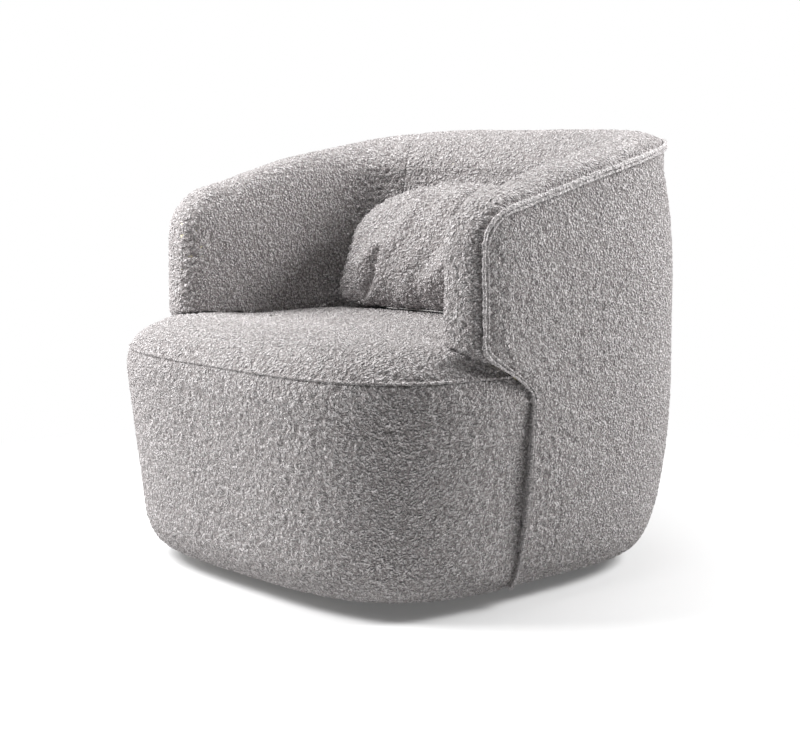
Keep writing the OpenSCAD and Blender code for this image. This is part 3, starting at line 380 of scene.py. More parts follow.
class Borders:
    """Distances of a grid's points from its four borders, along the grid."""

    def __init__(self, grid: Array) -> None:
        """Measures the grid.

        Args:
            grid: Points by row and column.
        """
        down = np.linalg.norm(np.diff(grid, axis=0), axis=-1)
        along = np.linalg.norm(np.diff(grid, axis=1), axis=-1)
        zero_row, zero_col = np.zeros((1, grid.shape[1])), np.zeros((grid.shape[0], 1))
        self.first_row = np.concatenate([zero_row, np.cumsum(down, 0)], 0)
        self.last_row = self.first_row[-1:] - self.first_row
        self.first_col = np.concatenate([zero_col, np.cumsum(along, 1)], 1)
        self.last_col = self.first_col[:, -1:] - self.first_col


def normals(grid: Array) -> Array:
    """Returns unit normals of a grid, on the side of rows crossed with columns.

    A corner point takes its inner neighbour's normal, because its own row and column can lie in one line.
    """
    found = unit(np.cross(np.gradient(grid, axis=0), np.gradient(grid, axis=1)))
    for row, inner_row in ((0, 1), (-1, -2)):
        for col, inner_col in ((0, 1), (-1, -2)):
            found[row, col] = found[inner_row, inner_col]
    return found


class MeshBuilder:
    """Collects points and faces and makes one object of them."""

    def __init__(self) -> None:
        """Starts with no points."""
        self.points: list[Array] = []
        self.count = 0
        self.faces: list[Array] = []

    def add(self, points: Array) -> Array:
        """Adds points and returns their numbers, in the shape of the points."""
        flat = points.reshape(-1, 3)
        numbers = np.arange(self.count, self.count + len(flat)).reshape(points.shape[:-1])
        self.points.append(flat)
        self.count += len(flat)
        return numbers

    def quads(self, numbers: Array, flip: bool = False) -> None:
        """Fills a grid of point numbers with four-sided faces."""
        corners = [numbers[:-1, :-1], numbers[:-1, 1:], numbers[1:, 1:], numbers[1:, :-1]]
        faces = np.stack(corners, -1).reshape(-1, 4)
        self.faces.append(faces[:, ::-1] if flip else faces)

    def coarse(self, numbers: Array, pitch: int, flip: bool = False) -> None:
        """Fills a grid with large faces that keep every point on its border.

        Args:
            numbers: Point numbers by row and column; only the border and every pitch-th point are used.
            pitch: Rows and columns in a large face.
            flip: Whether the faces point the other way.
        """
        rows, cols = numbers.shape
        down = sorted({*range(0, rows - 1, pitch), rows - 1})
        along = sorted({*range(0, cols - 1, pitch), cols - 1})
        for a, b in zip(down[:-1], down[1:]):
            for c, d in zip(along[:-1], along[1:]):
                top = numbers[a, c : d + 1] if a == 0 else numbers[a, [c, d]]
                low = numbers[b, c : d + 1] if b == rows - 1 else numbers[b, [c, d]]
                left = numbers[a : b + 1, c] if c == 0 else numbers[[a, b], c]
                right = numbers[a : b + 1, d] if d == cols - 1 else numbers[[a, b], d]
                face = np.concatenate([top[:-1], right[:-1], low[::-1][:-1], left[::-1][:-1]])
                self.faces.append((face[::-1] if flip else face)[None])

    def build(self, name: str) -> bpy.types.Object:
        """Makes the object, in metres, with smooth faces and without unused points."""
        points = np.concatenate(self.points) * MM
        loops = np.concatenate([f.ravel() for f in self.faces])
        sizes = np.concatenate([np.full(len(f), f.shape[1]) for f in self.faces])
        used, loops = np.unique(loops, return_inverse=True)
        mesh = bpy.data.meshes.new(name)
        mesh.vertices.add(len(used))
        mesh.vertices.foreach_set("co", points[used].astype(np.float32).ravel())
        mesh.loops.add(len(loops))
        mesh.loops.foreach_set("vertex_index", loops.astype(np.int32).ravel())
        mesh.polygons.add(len(sizes))
        starts = np.concatenate([[0], np.cumsum(sizes)[:-1]])
        mesh.polygons.foreach_set("loop_start", starts.astype(np.int32))
        mesh.update(calc_edges=True)
        mesh.validate()
        mesh.shade_smooth()
        piece = bpy.data.objects.new(name, mesh)
        bpy.context.scene.collection.objects.link(piece)
        return piece


def select_only(piece: bpy.types.Object) -> None:
    """Deselects everything and makes one object the active one."""
    bpy.ops.object.select_all(action="DESELECT")
    piece.select_set(True)
    bpy.context.view_layer.objects.active = piece


def apply_modifier(piece: bpy.types.Object, kind: str, **settings: object) -> None:
    """Adds a modifier, sets its properties and applies it."""
    select_only(piece)
    modifier = piece.modifiers.new(kind.lower(), kind)
    for key, value in settings.items():
        setattr(modifier, key, value)
    bpy.ops.object.modifier_apply(modifier=modifier.name)


@dataclass(frozen=True)
class Nap:
    """Raised pile of the bouclé, made as real relief on a dense mesh."""

    curl_size: float = 0.0078
    curl_height: float = 0.0036
    clump_size: float = 0.0050
    clump_height: float = 0.0024
    curl_level: float = 0.17
    clump_level: float = 0.5
    curl_contrast: float = 1.4
    weight_steps: int = 10

    def raise_on(self, piece: bpy.types.Object, weights: Array | None = None) -> None:
        """Raises the pile along the normals.

        Args:
            piece: The object, with a dense mesh.
            weights: Share of the height for each point, or None for all of it.
        """
        group = ""
        if weights is not None:
            group = self._weight_group(piece, weights)
        curls = bpy.data.textures.new("curls", "VORONOI")
        curls.noise_scale = self.curl_size
        curls.distance_metric = "DISTANCE_SQUARED"
        curls.noise_intensity = self.curl_contrast
        clumps = bpy.data.textures.new("clumps", "CLOUDS")
        clumps.noise_scale = self.clump_size
        clumps.noise_depth = 2
        layers = (
            (curls, -self.curl_height, self.curl_level),
            (clumps, self.clump_height, self.clump_level),
        )
        for texture, height, level in layers:
            apply_modifier(
                piece,
                "DISPLACE",
                texture=texture,
                texture_coords="LOCAL",
                direction="NORMAL",
                strength=height,
                mid_level=level,
                vertex_group=group,
            )
        if weights is not None:
            piece.vertex_groups.clear()

    def _weight_group(self, piece: bpy.types.Object, weights: Array) -> str:
        """Stores weights, in even steps, as a vertex group and returns its name."""
        group = piece.vertex_groups.new(name="nap")
        steps = np.rint(weights * self.weight_steps).astype(int)
        for level in range(1, self.weight_steps + 1):
            group.add(np.flatnonzero(steps == level).tolist(), level / self.weight_steps, "REPLACE")
        return group.name


@dataclass
class ClothPiece:
    """A sewn cover panel: a dense outer face with a turned edge and a plain lining, closed all round."""

    name: str
    grid: Array
    outward: int
    thick: float = 2.4
    pitch: int = 9
    seam_nap: float = 0.35
    seam_run: float = 7.0

    def build(self, lift: Array, seam_distance: Array) -> bpy.types.Object:
        """Builds the panel, shapes it and raises its pile.

        Args:
            lift: Distance by which each grid point stands out of the plain form, in millimetres.
            seam_distance: Distance of each grid point from the nearest sewn edge, in millimetres.

        Returns:
            The finished object.
        """
        face = normals(self.grid) * self.outward
        top = self.grid + face * lift[..., None]
        mesh = MeshBuilder()
        upper = mesh.add(top)
        lower = mesh.add(top - face * self.thick)
        mesh.quads(upper, flip=self.outward > 0)
        mesh.coarse(lower, self.pitch, flip=self.outward < 0)
        loop = self.border(upper), self.border(lower)
        mesh.quads(np.stack(loop), flip=self.outward < 0)
        piece = mesh.build(self.name)
        nap = mix(self.seam_nap, 1.0, smooth(seam_distance / self.seam_run)).ravel()
        weights = np.zeros(len(piece.data.vertices))
        weights[: len(nap)] = nap
        Nap().raise_on(piece, weights)
        return piece

    @staticmethod
    def border(numbers: Array) -> Array:
        """Returns the numbers round a grid's border, closed."""
        return np.concatenate([numbers[0], numbers[1:, -1], numbers[-1, -2::-1], numbers[-2::-1, 0]])


def mirrored(half: Array) -> Array:
    """Continues rows of points from the right side over the middle to the left side."""
    other = half[:, -2::-1] * np.array([-1.0, 1.0, 1.0])
    return np.concatenate([half, other], 1)


@dataclass
class Shell:
    """Outer cover of the arms and back, drawn tight over the foam from welt to floor edge."""

    edge: float = 3.6
    flange: float = 34.0
    turned_rows: int = 10
    front_tuck: float = 4.4
    front_run: float = 10.0
    rim_tuck: float = 2.0
    rim_run: float = 8.0
    front_tuck_z: float = 330.0
    joint_tuck_z: float = 420.0
    tuck_fade: float = 90.0
    sway: float = 0.9
    sway_run: float = 60.0
    arm_columns: int = 62
    upper_rows: int = 108

    def grid(self) -> Array:
        """Returns the cover's points: rows from under the chair up to the rim, columns round the back."""
        z = mix(FORM.skirt_z, FORM.sweep_top_z, np.linspace(0, 1, 2000) ** 2)
        places = evenly(np.stack([FORM.shell_inset(z), z], -1), STEP)
        levels = at_rows(z, places)
        arm_shares = np.linspace(0, 1, self.arm_columns)
        around = np.radians(np.linspace(0, 90, 3000))
        back = at_rows(around, evenly(FORM.outline(around), STEP * 1.05))[1:]
        rows = []
        for inset in np.linspace(self.flange, STEP, self.turned_rows):
            rows.append(self._level_row(FORM.skirt_z, inset, arm_shares, back))
        for level in levels:
            rows.append(self._level_row(level, 0.0, arm_shares, back))
        angles = self._angles(FORM.sweep_top_z, arm_shares, back)
        tops = FORM.edge_z(FORM.outline(angles)[:, 1], self.edge)
        for share in np.linspace(0, 1, self.upper_rows)[1:]:
            rows.append(FORM.shell_point(angles, mix(FORM.sweep_top_z, tops, share)))
        return mirrored(np.array(rows))

    def _angles(self, z: float, arm_shares: Array, back: Array) -> Array:
        """Returns the plan angles of one row's columns on the right half."""
        ys = mix(FORM.welt_y(z) + self.edge, FORM.wide_y, arm_shares)
        return np.concatenate([FORM.angle_at(ys), back])

    def _level_row(self, z: float, inset: float, arm_shares: Array, back: Array) -> Array:
        """Returns a level row of points at an added depth."""
        angles = self._angles(z, arm_shares, back)
        return FORM.shell_point(angles, np.full(len(angles), z), inset)

    def build(self) -> bpy.types.Object:
        """Builds the outer cover."""
        grid = self.grid()
        edges = Borders(grid)
        seam = np.minimum(np.minimum(edges.first_col, edges.last_col), edges.last_row)
        x, y, z = grid[..., 0], grid[..., 1], grid[..., 2]
        angle = np.arctan2(y, x)
        sway = self.sway * np.sin(3.1 * angle + z / 90) * np.sin(z / 130 + 2 * angle)
        front = np.minimum(edges.first_col, edges.last_col)
        lift = sway * smooth(seam / self.sway_run) - self.rim_tuck * np.exp(-edges.last_row / self.rim_run)
        above = smooth((z - self.front_tuck_z) / self.tuck_fade)
        below = smooth((self.joint_tuck_z - z) / self.tuck_fade)
        lift -= self.front_tuck * np.exp(-front / self.front_run) * above
        lift -= self.rim_tuck * np.exp(-front / self.rim_run) * below
        return ClothPiece("outer_shell_cover", grid, -1).build(lift, seam)


@dataclass
class SeatBlock:
    """Border and top of the seat, sewn together along the front."""

    under_welt: float = 4.5
    flange: float = 34.0
    ridge: float = 3.3
    overlap: float = 1.8
    tuck: float = 1.0
    tuck_run: float = 3.0
    recess: float = 5.0
    recess_flat: float = 6.5
    recess_run: float = 9.0
    roll_run: float = 104.0
    rear_drop: float = 4.0
    rear_run: float = 80.0
    ridge_at: float = 2.0
    ridge_width: float = 1.7
    stitch: float = 1.6
    stitch_width: float = 0.8
    hem_width: float = 2.5
    thick: float = 2.4
    seam_nap: float = 0.4
    seam_run: float = 7.0
    seam_end_y: float = -150.0
    middle: tuple[float, float] = (0.0, -211.0)
    turned_rows: int = 10
    border_columns: int = 232
    columns: int = 808
    lining_rings: tuple[int, ...] = (1, 11, 23, -1)
    lining_pitch: int = 8
    wrinkle_x: float = 336.0
    # Start along Y, heading in degrees, length and depth of each pull wrinkle
    wrinkles: tuple[tuple[float, float, float, float], ...] = (
        (-218, 12, 95, 1.5),
        (-196, 24, 80, 1.2),
        (-172, 40, 70, 1.3),
    )

    def border_grid(self) -> Array:
        """Returns the border's points: rows from under the chair up to the seam."""
        u = np.linspace(0, FORM.seam_u, 3000)
        profile = np.stack(FORM.front_profile(u), -1)
        places = evenly(profile, STEP)
        around = np.radians(np.linspace(-90, 0, 4000))
        rows = []
        sections = [(0.0, inset) for inset in np.linspace(self.flange, STEP, self.turned_rows)]
        sections += [(place, 0.0) for place in at_rows(u, places)]
        for place, extra in sections:
            inset, z = FORM.front_profile(np.array(place))
            last = FORM.angle_at(FORM.welt_y(z) + self.under_welt, inset + extra)
            line = around[around < last]
            points = FORM.outline(line, inset + extra)
            run = run_along(points)
            angles = np.interp(np.linspace(0, run[-1], self.border_columns), run, line)
            points = FORM.outline(angles, inset + extra)
            rows.append(np.concatenate([points, np.full((len(points), 1), z)], -1)[::-1])
        return mirrored(np.array(rows))

    def build_border(self) -> bpy.types.Object:
        """Builds the border, which is drawn in a little at its upper seam and beside the welt."""
        grid = self.border_grid()
        edges = Borders(grid)
        side = np.minimum(edges.first_col, edges.last_col)
        lift = -self.tuck * np.exp(-edges.last_row / self.tuck_run)
        lift -= self.recess * (1 - smooth((side - self.recess_flat) / self.recess_run))
        seam = np.minimum(edges.last_row, side)
        return ClothPiece("seat_border_cover", grid, 1).build(lift, seam)

    def edge_line(self) -> tuple[Array, Array]:
        """Returns the edge of the seat's top from above, and a share that is 1 along the front's seam."""
        inset = float(FORM.front_profile(np.array(FORM.seam_u))[0])
        last = float(FORM.angle_at(np.array(self.seam_end_y), inset))
        front = FORM.outline(np.radians(np.linspace(-90, math.degrees(last), 1500)), inset)
        beside = FORM.angle_at(np.linspace(FORM.joint_y, FORM.wide_y - 0.5, 60))
        walls = np.concatenate([beside, np.radians(np.linspace(0, 90, 1500))])
        level = FORM.seat_roll_z + FORM.seat_roll_h
        rear = FORM.wall_point(walls, np.full(len(walls), level), FORM.wall_t(walls))[:, :2]
        step = mix(front[-1], rear[0], np.linspace(0, 1, 60)[1:-1, None])
        half = np.concatenate([front, step, rear])
        flags = np.concatenate([np.ones(len(front)), np.linspace(1, 0, len(step)), np.zeros(len(rear))])
        line = np.concatenate([half, half[-2:0:-1] * [-1, 1]])
        flags = np.concatenate([flags, flags[-2:0:-1]])
        line, flags = np.concatenate([line, line[:1]]), np.concatenate([flags, flags[:1]])
        run = run_along(line)
        places = np.interp(np.linspace(0, run[-1], self.columns + 1)[:-1], run, np.arange(len(line)))
        return at_rows(line, places), at_rows(flags, places)

    def surface(self, plan: Array, front: Array, run: Array) -> Array:
        """Returns points of the seat's top over plan points.

        Args:
            plan: Points seen from above.
            front: Share by which each point belongs to the front's seam, and not to the walls.
            run: Distance of each point from the edge.
        """
        fall = self.rear_drop * (1 - front) * (1 - clamp(run / self.rear_run)) ** 2
        z = FORM.seat_z(plan[..., 0], plan[..., 1]) - fall
        z = z + self.pulls(plan[..., 0], plan[..., 1])
        return np.concatenate([plan, z[..., None]], -1)

    def pulls(self, x: Array, y: Array) -> Array:
        """Returns small pull wrinkles that run from under the arms' front ends over the seat."""
        total = np.zeros_like(x)
        inwards = self.wrinkle_x - np.abs(x)
        for start, heading, length, depth in self.wrinkles:
            angle = math.radians(heading)
            along = inwards * math.cos(angle) + (y - start) * math.sin(angle)
            across = (y - start) * math.cos(angle) - inwards * math.sin(angle)
            fade = smooth(1 - np.abs(along / length - 0.35) / 0.65)
            total += depth * fade * (0.7 * bell(across - 7, 6) - bell(across, 4))
        return total

    def build_top(self) -> bpy.types.Object:
        """Builds the seat's top as rings round a middle patch, closed underneath."""
        edge, front = self.edge_line()
        inset, z = FORM.front_profile(np.linspace(FORM.seam_u, 2, 2000))
        places = evenly(np.stack([inset, z], -1), STEP)
        runs = at_rows(inset, places) - inset[0]
        runs = np.concatenate([runs, np.arange(runs[-1] + STEP, self.roll_run, STEP)])
        fine = np.interp(np.array([0.0, 0.25, 0.55, 0.9, 1.3, 1.8, 2.4]), np.arange(len(runs)), runs)
        runs = np.concatenate([fine, runs[3:]])
        inwards = unit(np.array(self.middle) - edge)
        plan = edge[None] + inwards[None] * runs[:, None, None]
        rings = self.surface(plan, front[None], runs[:, None])
        distance = Borders(closed(rings)).first_row[:, :-1]
        face = -normals(np.concatenate([rings[:, -1:], closed(rings)], 1))[:, 1:-1]
        ridge = self.ridge * bell(distance - self.ridge_at, self.ridge_width)
        ridge = ridge - self.stitch * bell(distance, self.stitch_width)
        hem = -self.overlap * bell(distance, self.hem_width) * front[None]
        rings = rings + face * (ridge * front[None])[..., None]
        rings[..., 2] += hem
        mesh = MeshBuilder()
        upper = mesh.add(rings)
        mesh.quads(closed(upper))
        patch = self.patch(upper[-1], rings[-1], mesh)
        mesh.quads(patch)
        chosen = list(self.lining_rings)
        lower = mesh.add(rings[chosen] - face[chosen] * self.thick)
        self.underside(mesh, upper[0], lower)
        piece = mesh.build("seat_top_cover")
        weights = np.zeros(len(piece.data.vertices))
        total = upper.size + (patch.shape[0] - 2) * (patch.shape[1] - 2)
        weights[:total] = 1.0
        weights[: upper.size] = mix(self.seam_nap, 1.0, smooth(distance / self.seam_run)).ravel()
        Nap().raise_on(piece, weights)
        return piece

    def patch(self, ring: Array, points: Array, mesh: MeshBuilder) -> Array:
        """Fills the inside of the last ring with a grid.

        Args:
            ring: Point numbers of the ring.
            points: Their places.
            mesh: The mesh that gets the inner points.

        Returns:
            Point numbers of the whole patch by row and column.
        """
        side = self.columns // 4
        order = (np.arange(self.columns) - side // 2) % self.columns
        numbers, places = ring[order], points[order, :2]
        low, right = places[: side + 1], places[side : 2 * side + 1]
        top = places[2 * side : 3 * side + 1][::-1]
        left = np.concatenate([places[3 * side :], places[:1]])[::-1]
        s = np.linspace(0, 1, side + 1)[None, :, None]
        t = np.linspace(0, 1, side + 1)[:, None, None]
        plan = mix(low[None], top[None], t) + mix(left[:, None], right[:, None], s)
        plan = plan - mix(mix(low[0], low[-1], s), mix(top[0], top[-1], s), t)
        inner = self.surface(plan, np.ones(plan.shape[:2]), np.full(plan.shape[:2], self.roll_run))
        grid = np.zeros((side + 1, side + 1), int)
        grid[1:-1, 1:-1] = mesh.add(inner[1:-1, 1:-1])
        grid[0], grid[:, -1] = numbers[: side + 1], numbers[side : 2 * side + 1]
        grid[-1, ::-1] = numbers[2 * side : 3 * side + 1]
        grid[::-1, 0] = np.concatenate([numbers[3 * side :], numbers[:1]])
        return grid

    def underside(self, mesh: MeshBuilder, edge: Array, lower: Array) -> None:
        """Closes the seat's top underneath with large faces and one last face in the middle."""
        rim = np.stack([edge, lower[0]])
        mesh.quads(closed(rim), flip=True)
        pitch = self.lining_pitch
        lining = closed(lower)
        for c in range(0, self.columns, pitch):
            first = lining[0, c : c + pitch + 1]
            mesh.faces.append(np.concatenate([first, lining[1, [c + pitch, c]]])[::-1][None])
        rest = lining[1:, ::pitch]
        mesh.quads(rest, flip=True)
        mesh.faces.append(rest[-1, :-1][::-1][None])


@dataclass
class Padding:
    """Padded inner faces and rim: one panel for each arm and one for the back."""

    first_turn: float = 5.0
    low_z: float = 416.0
    foot_z: float = 318.0
    tuck: float = 1.9
    welt_tuck: float = 3.6
    tuck_run: float = 7.0
    round_r: float = 3.2
    inner_tuck: float = 30.0
    ahead_gap: float = 12.0
    ahead_run: float = 14.0
    fullness_run: float = 50.0
    fullness_z: float = 440.0
    fullness_fade: float = 40.0
    arm_measure_z: float = 560.0
    back_measure_z: float = 700.0

    def turns(self, thick: float, y: float) -> Array:
        """Returns even angles round the roll for a thickness at a place along the rim."""
        angle = np.radians(np.linspace(self.first_turn, 180, 2000))
        up, depth = FORM.roll(angle, thick, np.array(y))
        return at_rows(angle, evenly(np.stack([up, depth], -1), STEP))

    def arm_grid(self) -> Array:
        """Returns the right arm's points: rows from the welt over the crest, columns from the front."""
        turns = self.turns(FORM.arm_t, FORM.arm_front_y)
        n = len(turns)
        front_up, front_depth = FORM.roll(turns, FORM.arm_t, np.array(FORM.arm_front_y))
        start = FORM.arm_front_y - front_up[-1]
        beside = FORM.angle_at(np.linspace(start, FORM.wide_y - 0.5, 400))
        angles = np.concatenate([beside, np.linspace(0, FORM.seam_angle, 2000)])
        line = FORM.wall_point(angles, np.full(len(angles), self.arm_measure_z), FORM.wall_t(angles))
        angles = at_rows(angles, evenly(line, STEP * 0.86))[1:]
        ys = np.concatenate([FORM.arm_front_y - front_up, FORM.outline(angles)[:, 1]])
        front = np.arange(len(ys)) < n
        thick = FORM.wall_t(FORM.angle_at(ys))
        full = np.where(front, np.concatenate([front_depth, np.zeros(len(ys) - n)]), thick)
        up, depth = FORM.roll(turns[:, None], thick[None], ys[None])
        rows = [self._roll_row(r, n, ys, up, depth, front_up, front_depth) for r in range(n)]
        straight_z = FORM.rim_z(ys) + up[-1]
        ahead = smooth((FORM.joint_y + self.ahead_gap - ys) / self.ahead_run)
        foot = FORM.wall_point(FORM.angle_at(ys), np.full(len(ys), FORM.arm_foot), full)
        low = mix(self.low_z, FORM.under_arm(full) + FORM.bulge(foot[:, 0], foot[:, 1]), ahead)
        count = int(np.ceil((straight_z - low).max() / STEP))
        round_r = self.round_r
        for share in np.linspace(0, 1, count + 1)[1:]:
            z = mix(straight_z, low + round_r * ahead, share)
            rows.append(self._swept(ys, z, full, front))
        for turn in np.radians([30, 60, 90]):
            z = low + round_r * ahead * (1 - math.sin(turn)) - (1 - ahead) * 4 * turn
            rows.append(self._tucked(ys, z, full, front, ahead, round_r * (1 - math.cos(turn))))
        for share in (0.15, 0.4, 0.7, 1.0):
            z = mix(low - (1 - ahead) * 6, low * ahead + self.foot_z * (1 - ahead), share)
            z = np.where(ahead > 0.99, low + 0.6 * share, z)
            rows.append(self._tucked(ys, z, full, front, ahead, round_r + self.inner_tuck * share))
        return np.array(rows)

    def _roll_row(
        self,
        r: int,
        n: int,
        ys: Array,
        up: Array,
        depth: Array,
        front_up: Array,
        front_depth: Array,
    ) -> Array:
        """Returns a row of the roll, which turns the arm's front corner in rings round one centre.

        Args:
            r: Number of the row.
            n: Number of rows and of the front's columns.
            ys: Place of each column along the rim.
            up: Height of the roll's points over the welt, by row and column.
            depth: Depth of the roll's points, by row and column.
            front_up: Height of each ring of the front.
            front_depth: Depth of each ring of the front.
        """
        y, z, d = ys.copy(), FORM.rim_z(ys) + up[r], depth[r].copy()
        c = np.arange(n)
        ring = np.minimum(c, r)
        share = (np.maximum(c, r) - ring) / np.maximum(n - 1 - ring, 1)
        reach = mix(front_up[ring], front_up[-1], share)
        dy = FORM.arm_corner_r + np.where(c <= r, front_up[ring], reach)
        dz = FORM.arm_corner_r + np.where(r <= c, front_up[ring], reach)
        most = np.maximum(np.maximum(dy, dz), 1e-6)
        turned = (dy > 0) & (dz > 0)
        turned_y = dy * np.sqrt(np.clip(1 - (dz / most) ** 2 / 2, 0, 1))
        turned_z = dz * np.sqrt(np.clip(1 - (dy / most) ** 2 / 2, 0, 1))
        y[:n] = FORM.arm_front_y + FORM.arm_corner_r - np.where(turned, turned_y, dy)
        z[:n] = FORM.rim_z(y[:n]) - FORM.arm_corner_r + np.where(turned, turned_z, dz)
        d[:n] = front_depth[ring]
        return FORM.wall_point(FORM.angle_at(y), z, d)

    def _swept(self, ys: Array, z: Array, depth: Array, front: Array) -> Array:
        """Returns a row under the roll; the arm's front sweeps back with the welt at its lower end."""
        y = np.where(front, ys + FORM.welt_y(z) - FORM.arm_front_y, ys)
        return FORM.wall_point(FORM.angle_at(y), z, depth)

    def _tucked(self, ys: Array, z: Array, depth: Array, front: Array, ahead: Array, tuck: float) -> Array:
        """Returns a row of the underside, drawn inwards from the arm's lower edge."""
        base = self._swept(ys, z, depth, front)
        middle = FORM.arm_t / 2
        inner_y = np.maximum(base[:, 1], FORM.arm_front_y + 20)
        target = np.stack([FORM.arm_outline(FORM.angle_at(inner_y))[:, 0] - middle, inner_y, base[:, 2]], -1)
        away = target - base
        reach = np.linalg.norm(away, axis=-1, keepdims=True)
        move = away / np.maximum(reach, 1e-6) * np.minimum(tuck, reach * 0.9)
        return base + move * ahead[:, None]

    def drawn_in(self, welt: Array, seam: Array) -> Array:
        """Returns how the cloth is drawn in, by the distances from the welt and from the upright seam."""
        return -self.welt_tuck * np.exp(-welt / self.tuck_run) - self.tuck * np.exp(-seam / self.tuck_run)

    def build_arm(self, side: Side) -> bpy.types.Object:
        """Builds one arm's panel."""
        grid = self.arm_grid() * np.array([side.value, 1.0, 1.0])
        edges = Borders(grid)
        welt = np.minimum(edges.first_row, edges.first_col)
        seam = edges.last_col
        lift = self.drawn_in(welt, seam)
        x, y, z = np.abs(grid[..., 0]), grid[..., 1], grid[..., 2]
        fullness = 1.2 * np.sin(y / 71 + 1) * np.sin(z / 83) + 0.7 * np.sin(y / 37 + z / 52)
        high = smooth((z - self.fullness_z) / self.fullness_fade)
        lift += fullness * smooth(np.minimum(welt, seam) / self.fullness_run) * high
        piece = ClothPiece(f"arm_{side.word}_cover", grid, -side.value)
        return piece.build(lift, np.minimum(welt, seam))

    def back_grid(self) -> Array:
        """Returns the back's points between the two seams."""
        turns = self.turns(FORM.back_t, FORM.wide_y + FORM.depth_back)
        angles = np.linspace(FORM.seam_angle, math.pi / 2, 3000)
        line = FORM.wall_point(angles, np.full(len(angles), self.back_measure_z), FORM.wall_t(angles) * 0.5)
        angles = at_rows(angles, evenly(line, STEP))
        angles[0] += 0.0012
        ys = FORM.outline(angles)[:, 1]
        thick = FORM.wall_t(angles)
        up, depth = FORM.roll(turns[:, None], thick[None], ys[None])
        rows = [FORM.wall_point(angles, FORM.rim_z(ys) + up[r], depth[r]) for r in range(len(turns))]
        top = FORM.rim_z(ys) + up[-1]
        count = int(np.ceil((top - self.low_z).max() / STEP / 1.03))
        for share in np.linspace(0, 1, count + 1)[1:]:
            rows.append(FORM.wall_point(angles, mix(top, self.low_z, share), thick))
        for share in (0.1, 0.3, 0.6, 1.0):
            rows.append(FORM.wall_point(angles, mix(self.low_z, self.foot_z, share) + 0 * top, thick))
        return mirrored(np.array(rows))

    def build_back(self) -> bpy.types.Object:
        """Builds the back's panel."""
        grid = self.back_grid()
        edges = Borders(grid)
        seam = np.minimum(edges.first_col, edges.last_col)
        lift = self.drawn_in(edges.first_row, seam)
        x, z = grid[..., 0], grid[..., 2]
        fullness = 1.3 * np.sin(x / 83 + 0.6) * np.sin(z / 77) + 0.6 * np.sin(x / 41 - z / 60)
        lift += fullness * smooth(np.minimum(edges.first_row, seam) / self.fullness_run)
        return ClothPiece("back_cover_panel", grid, -1).build(lift, np.minimum(seam, edges.first_row))


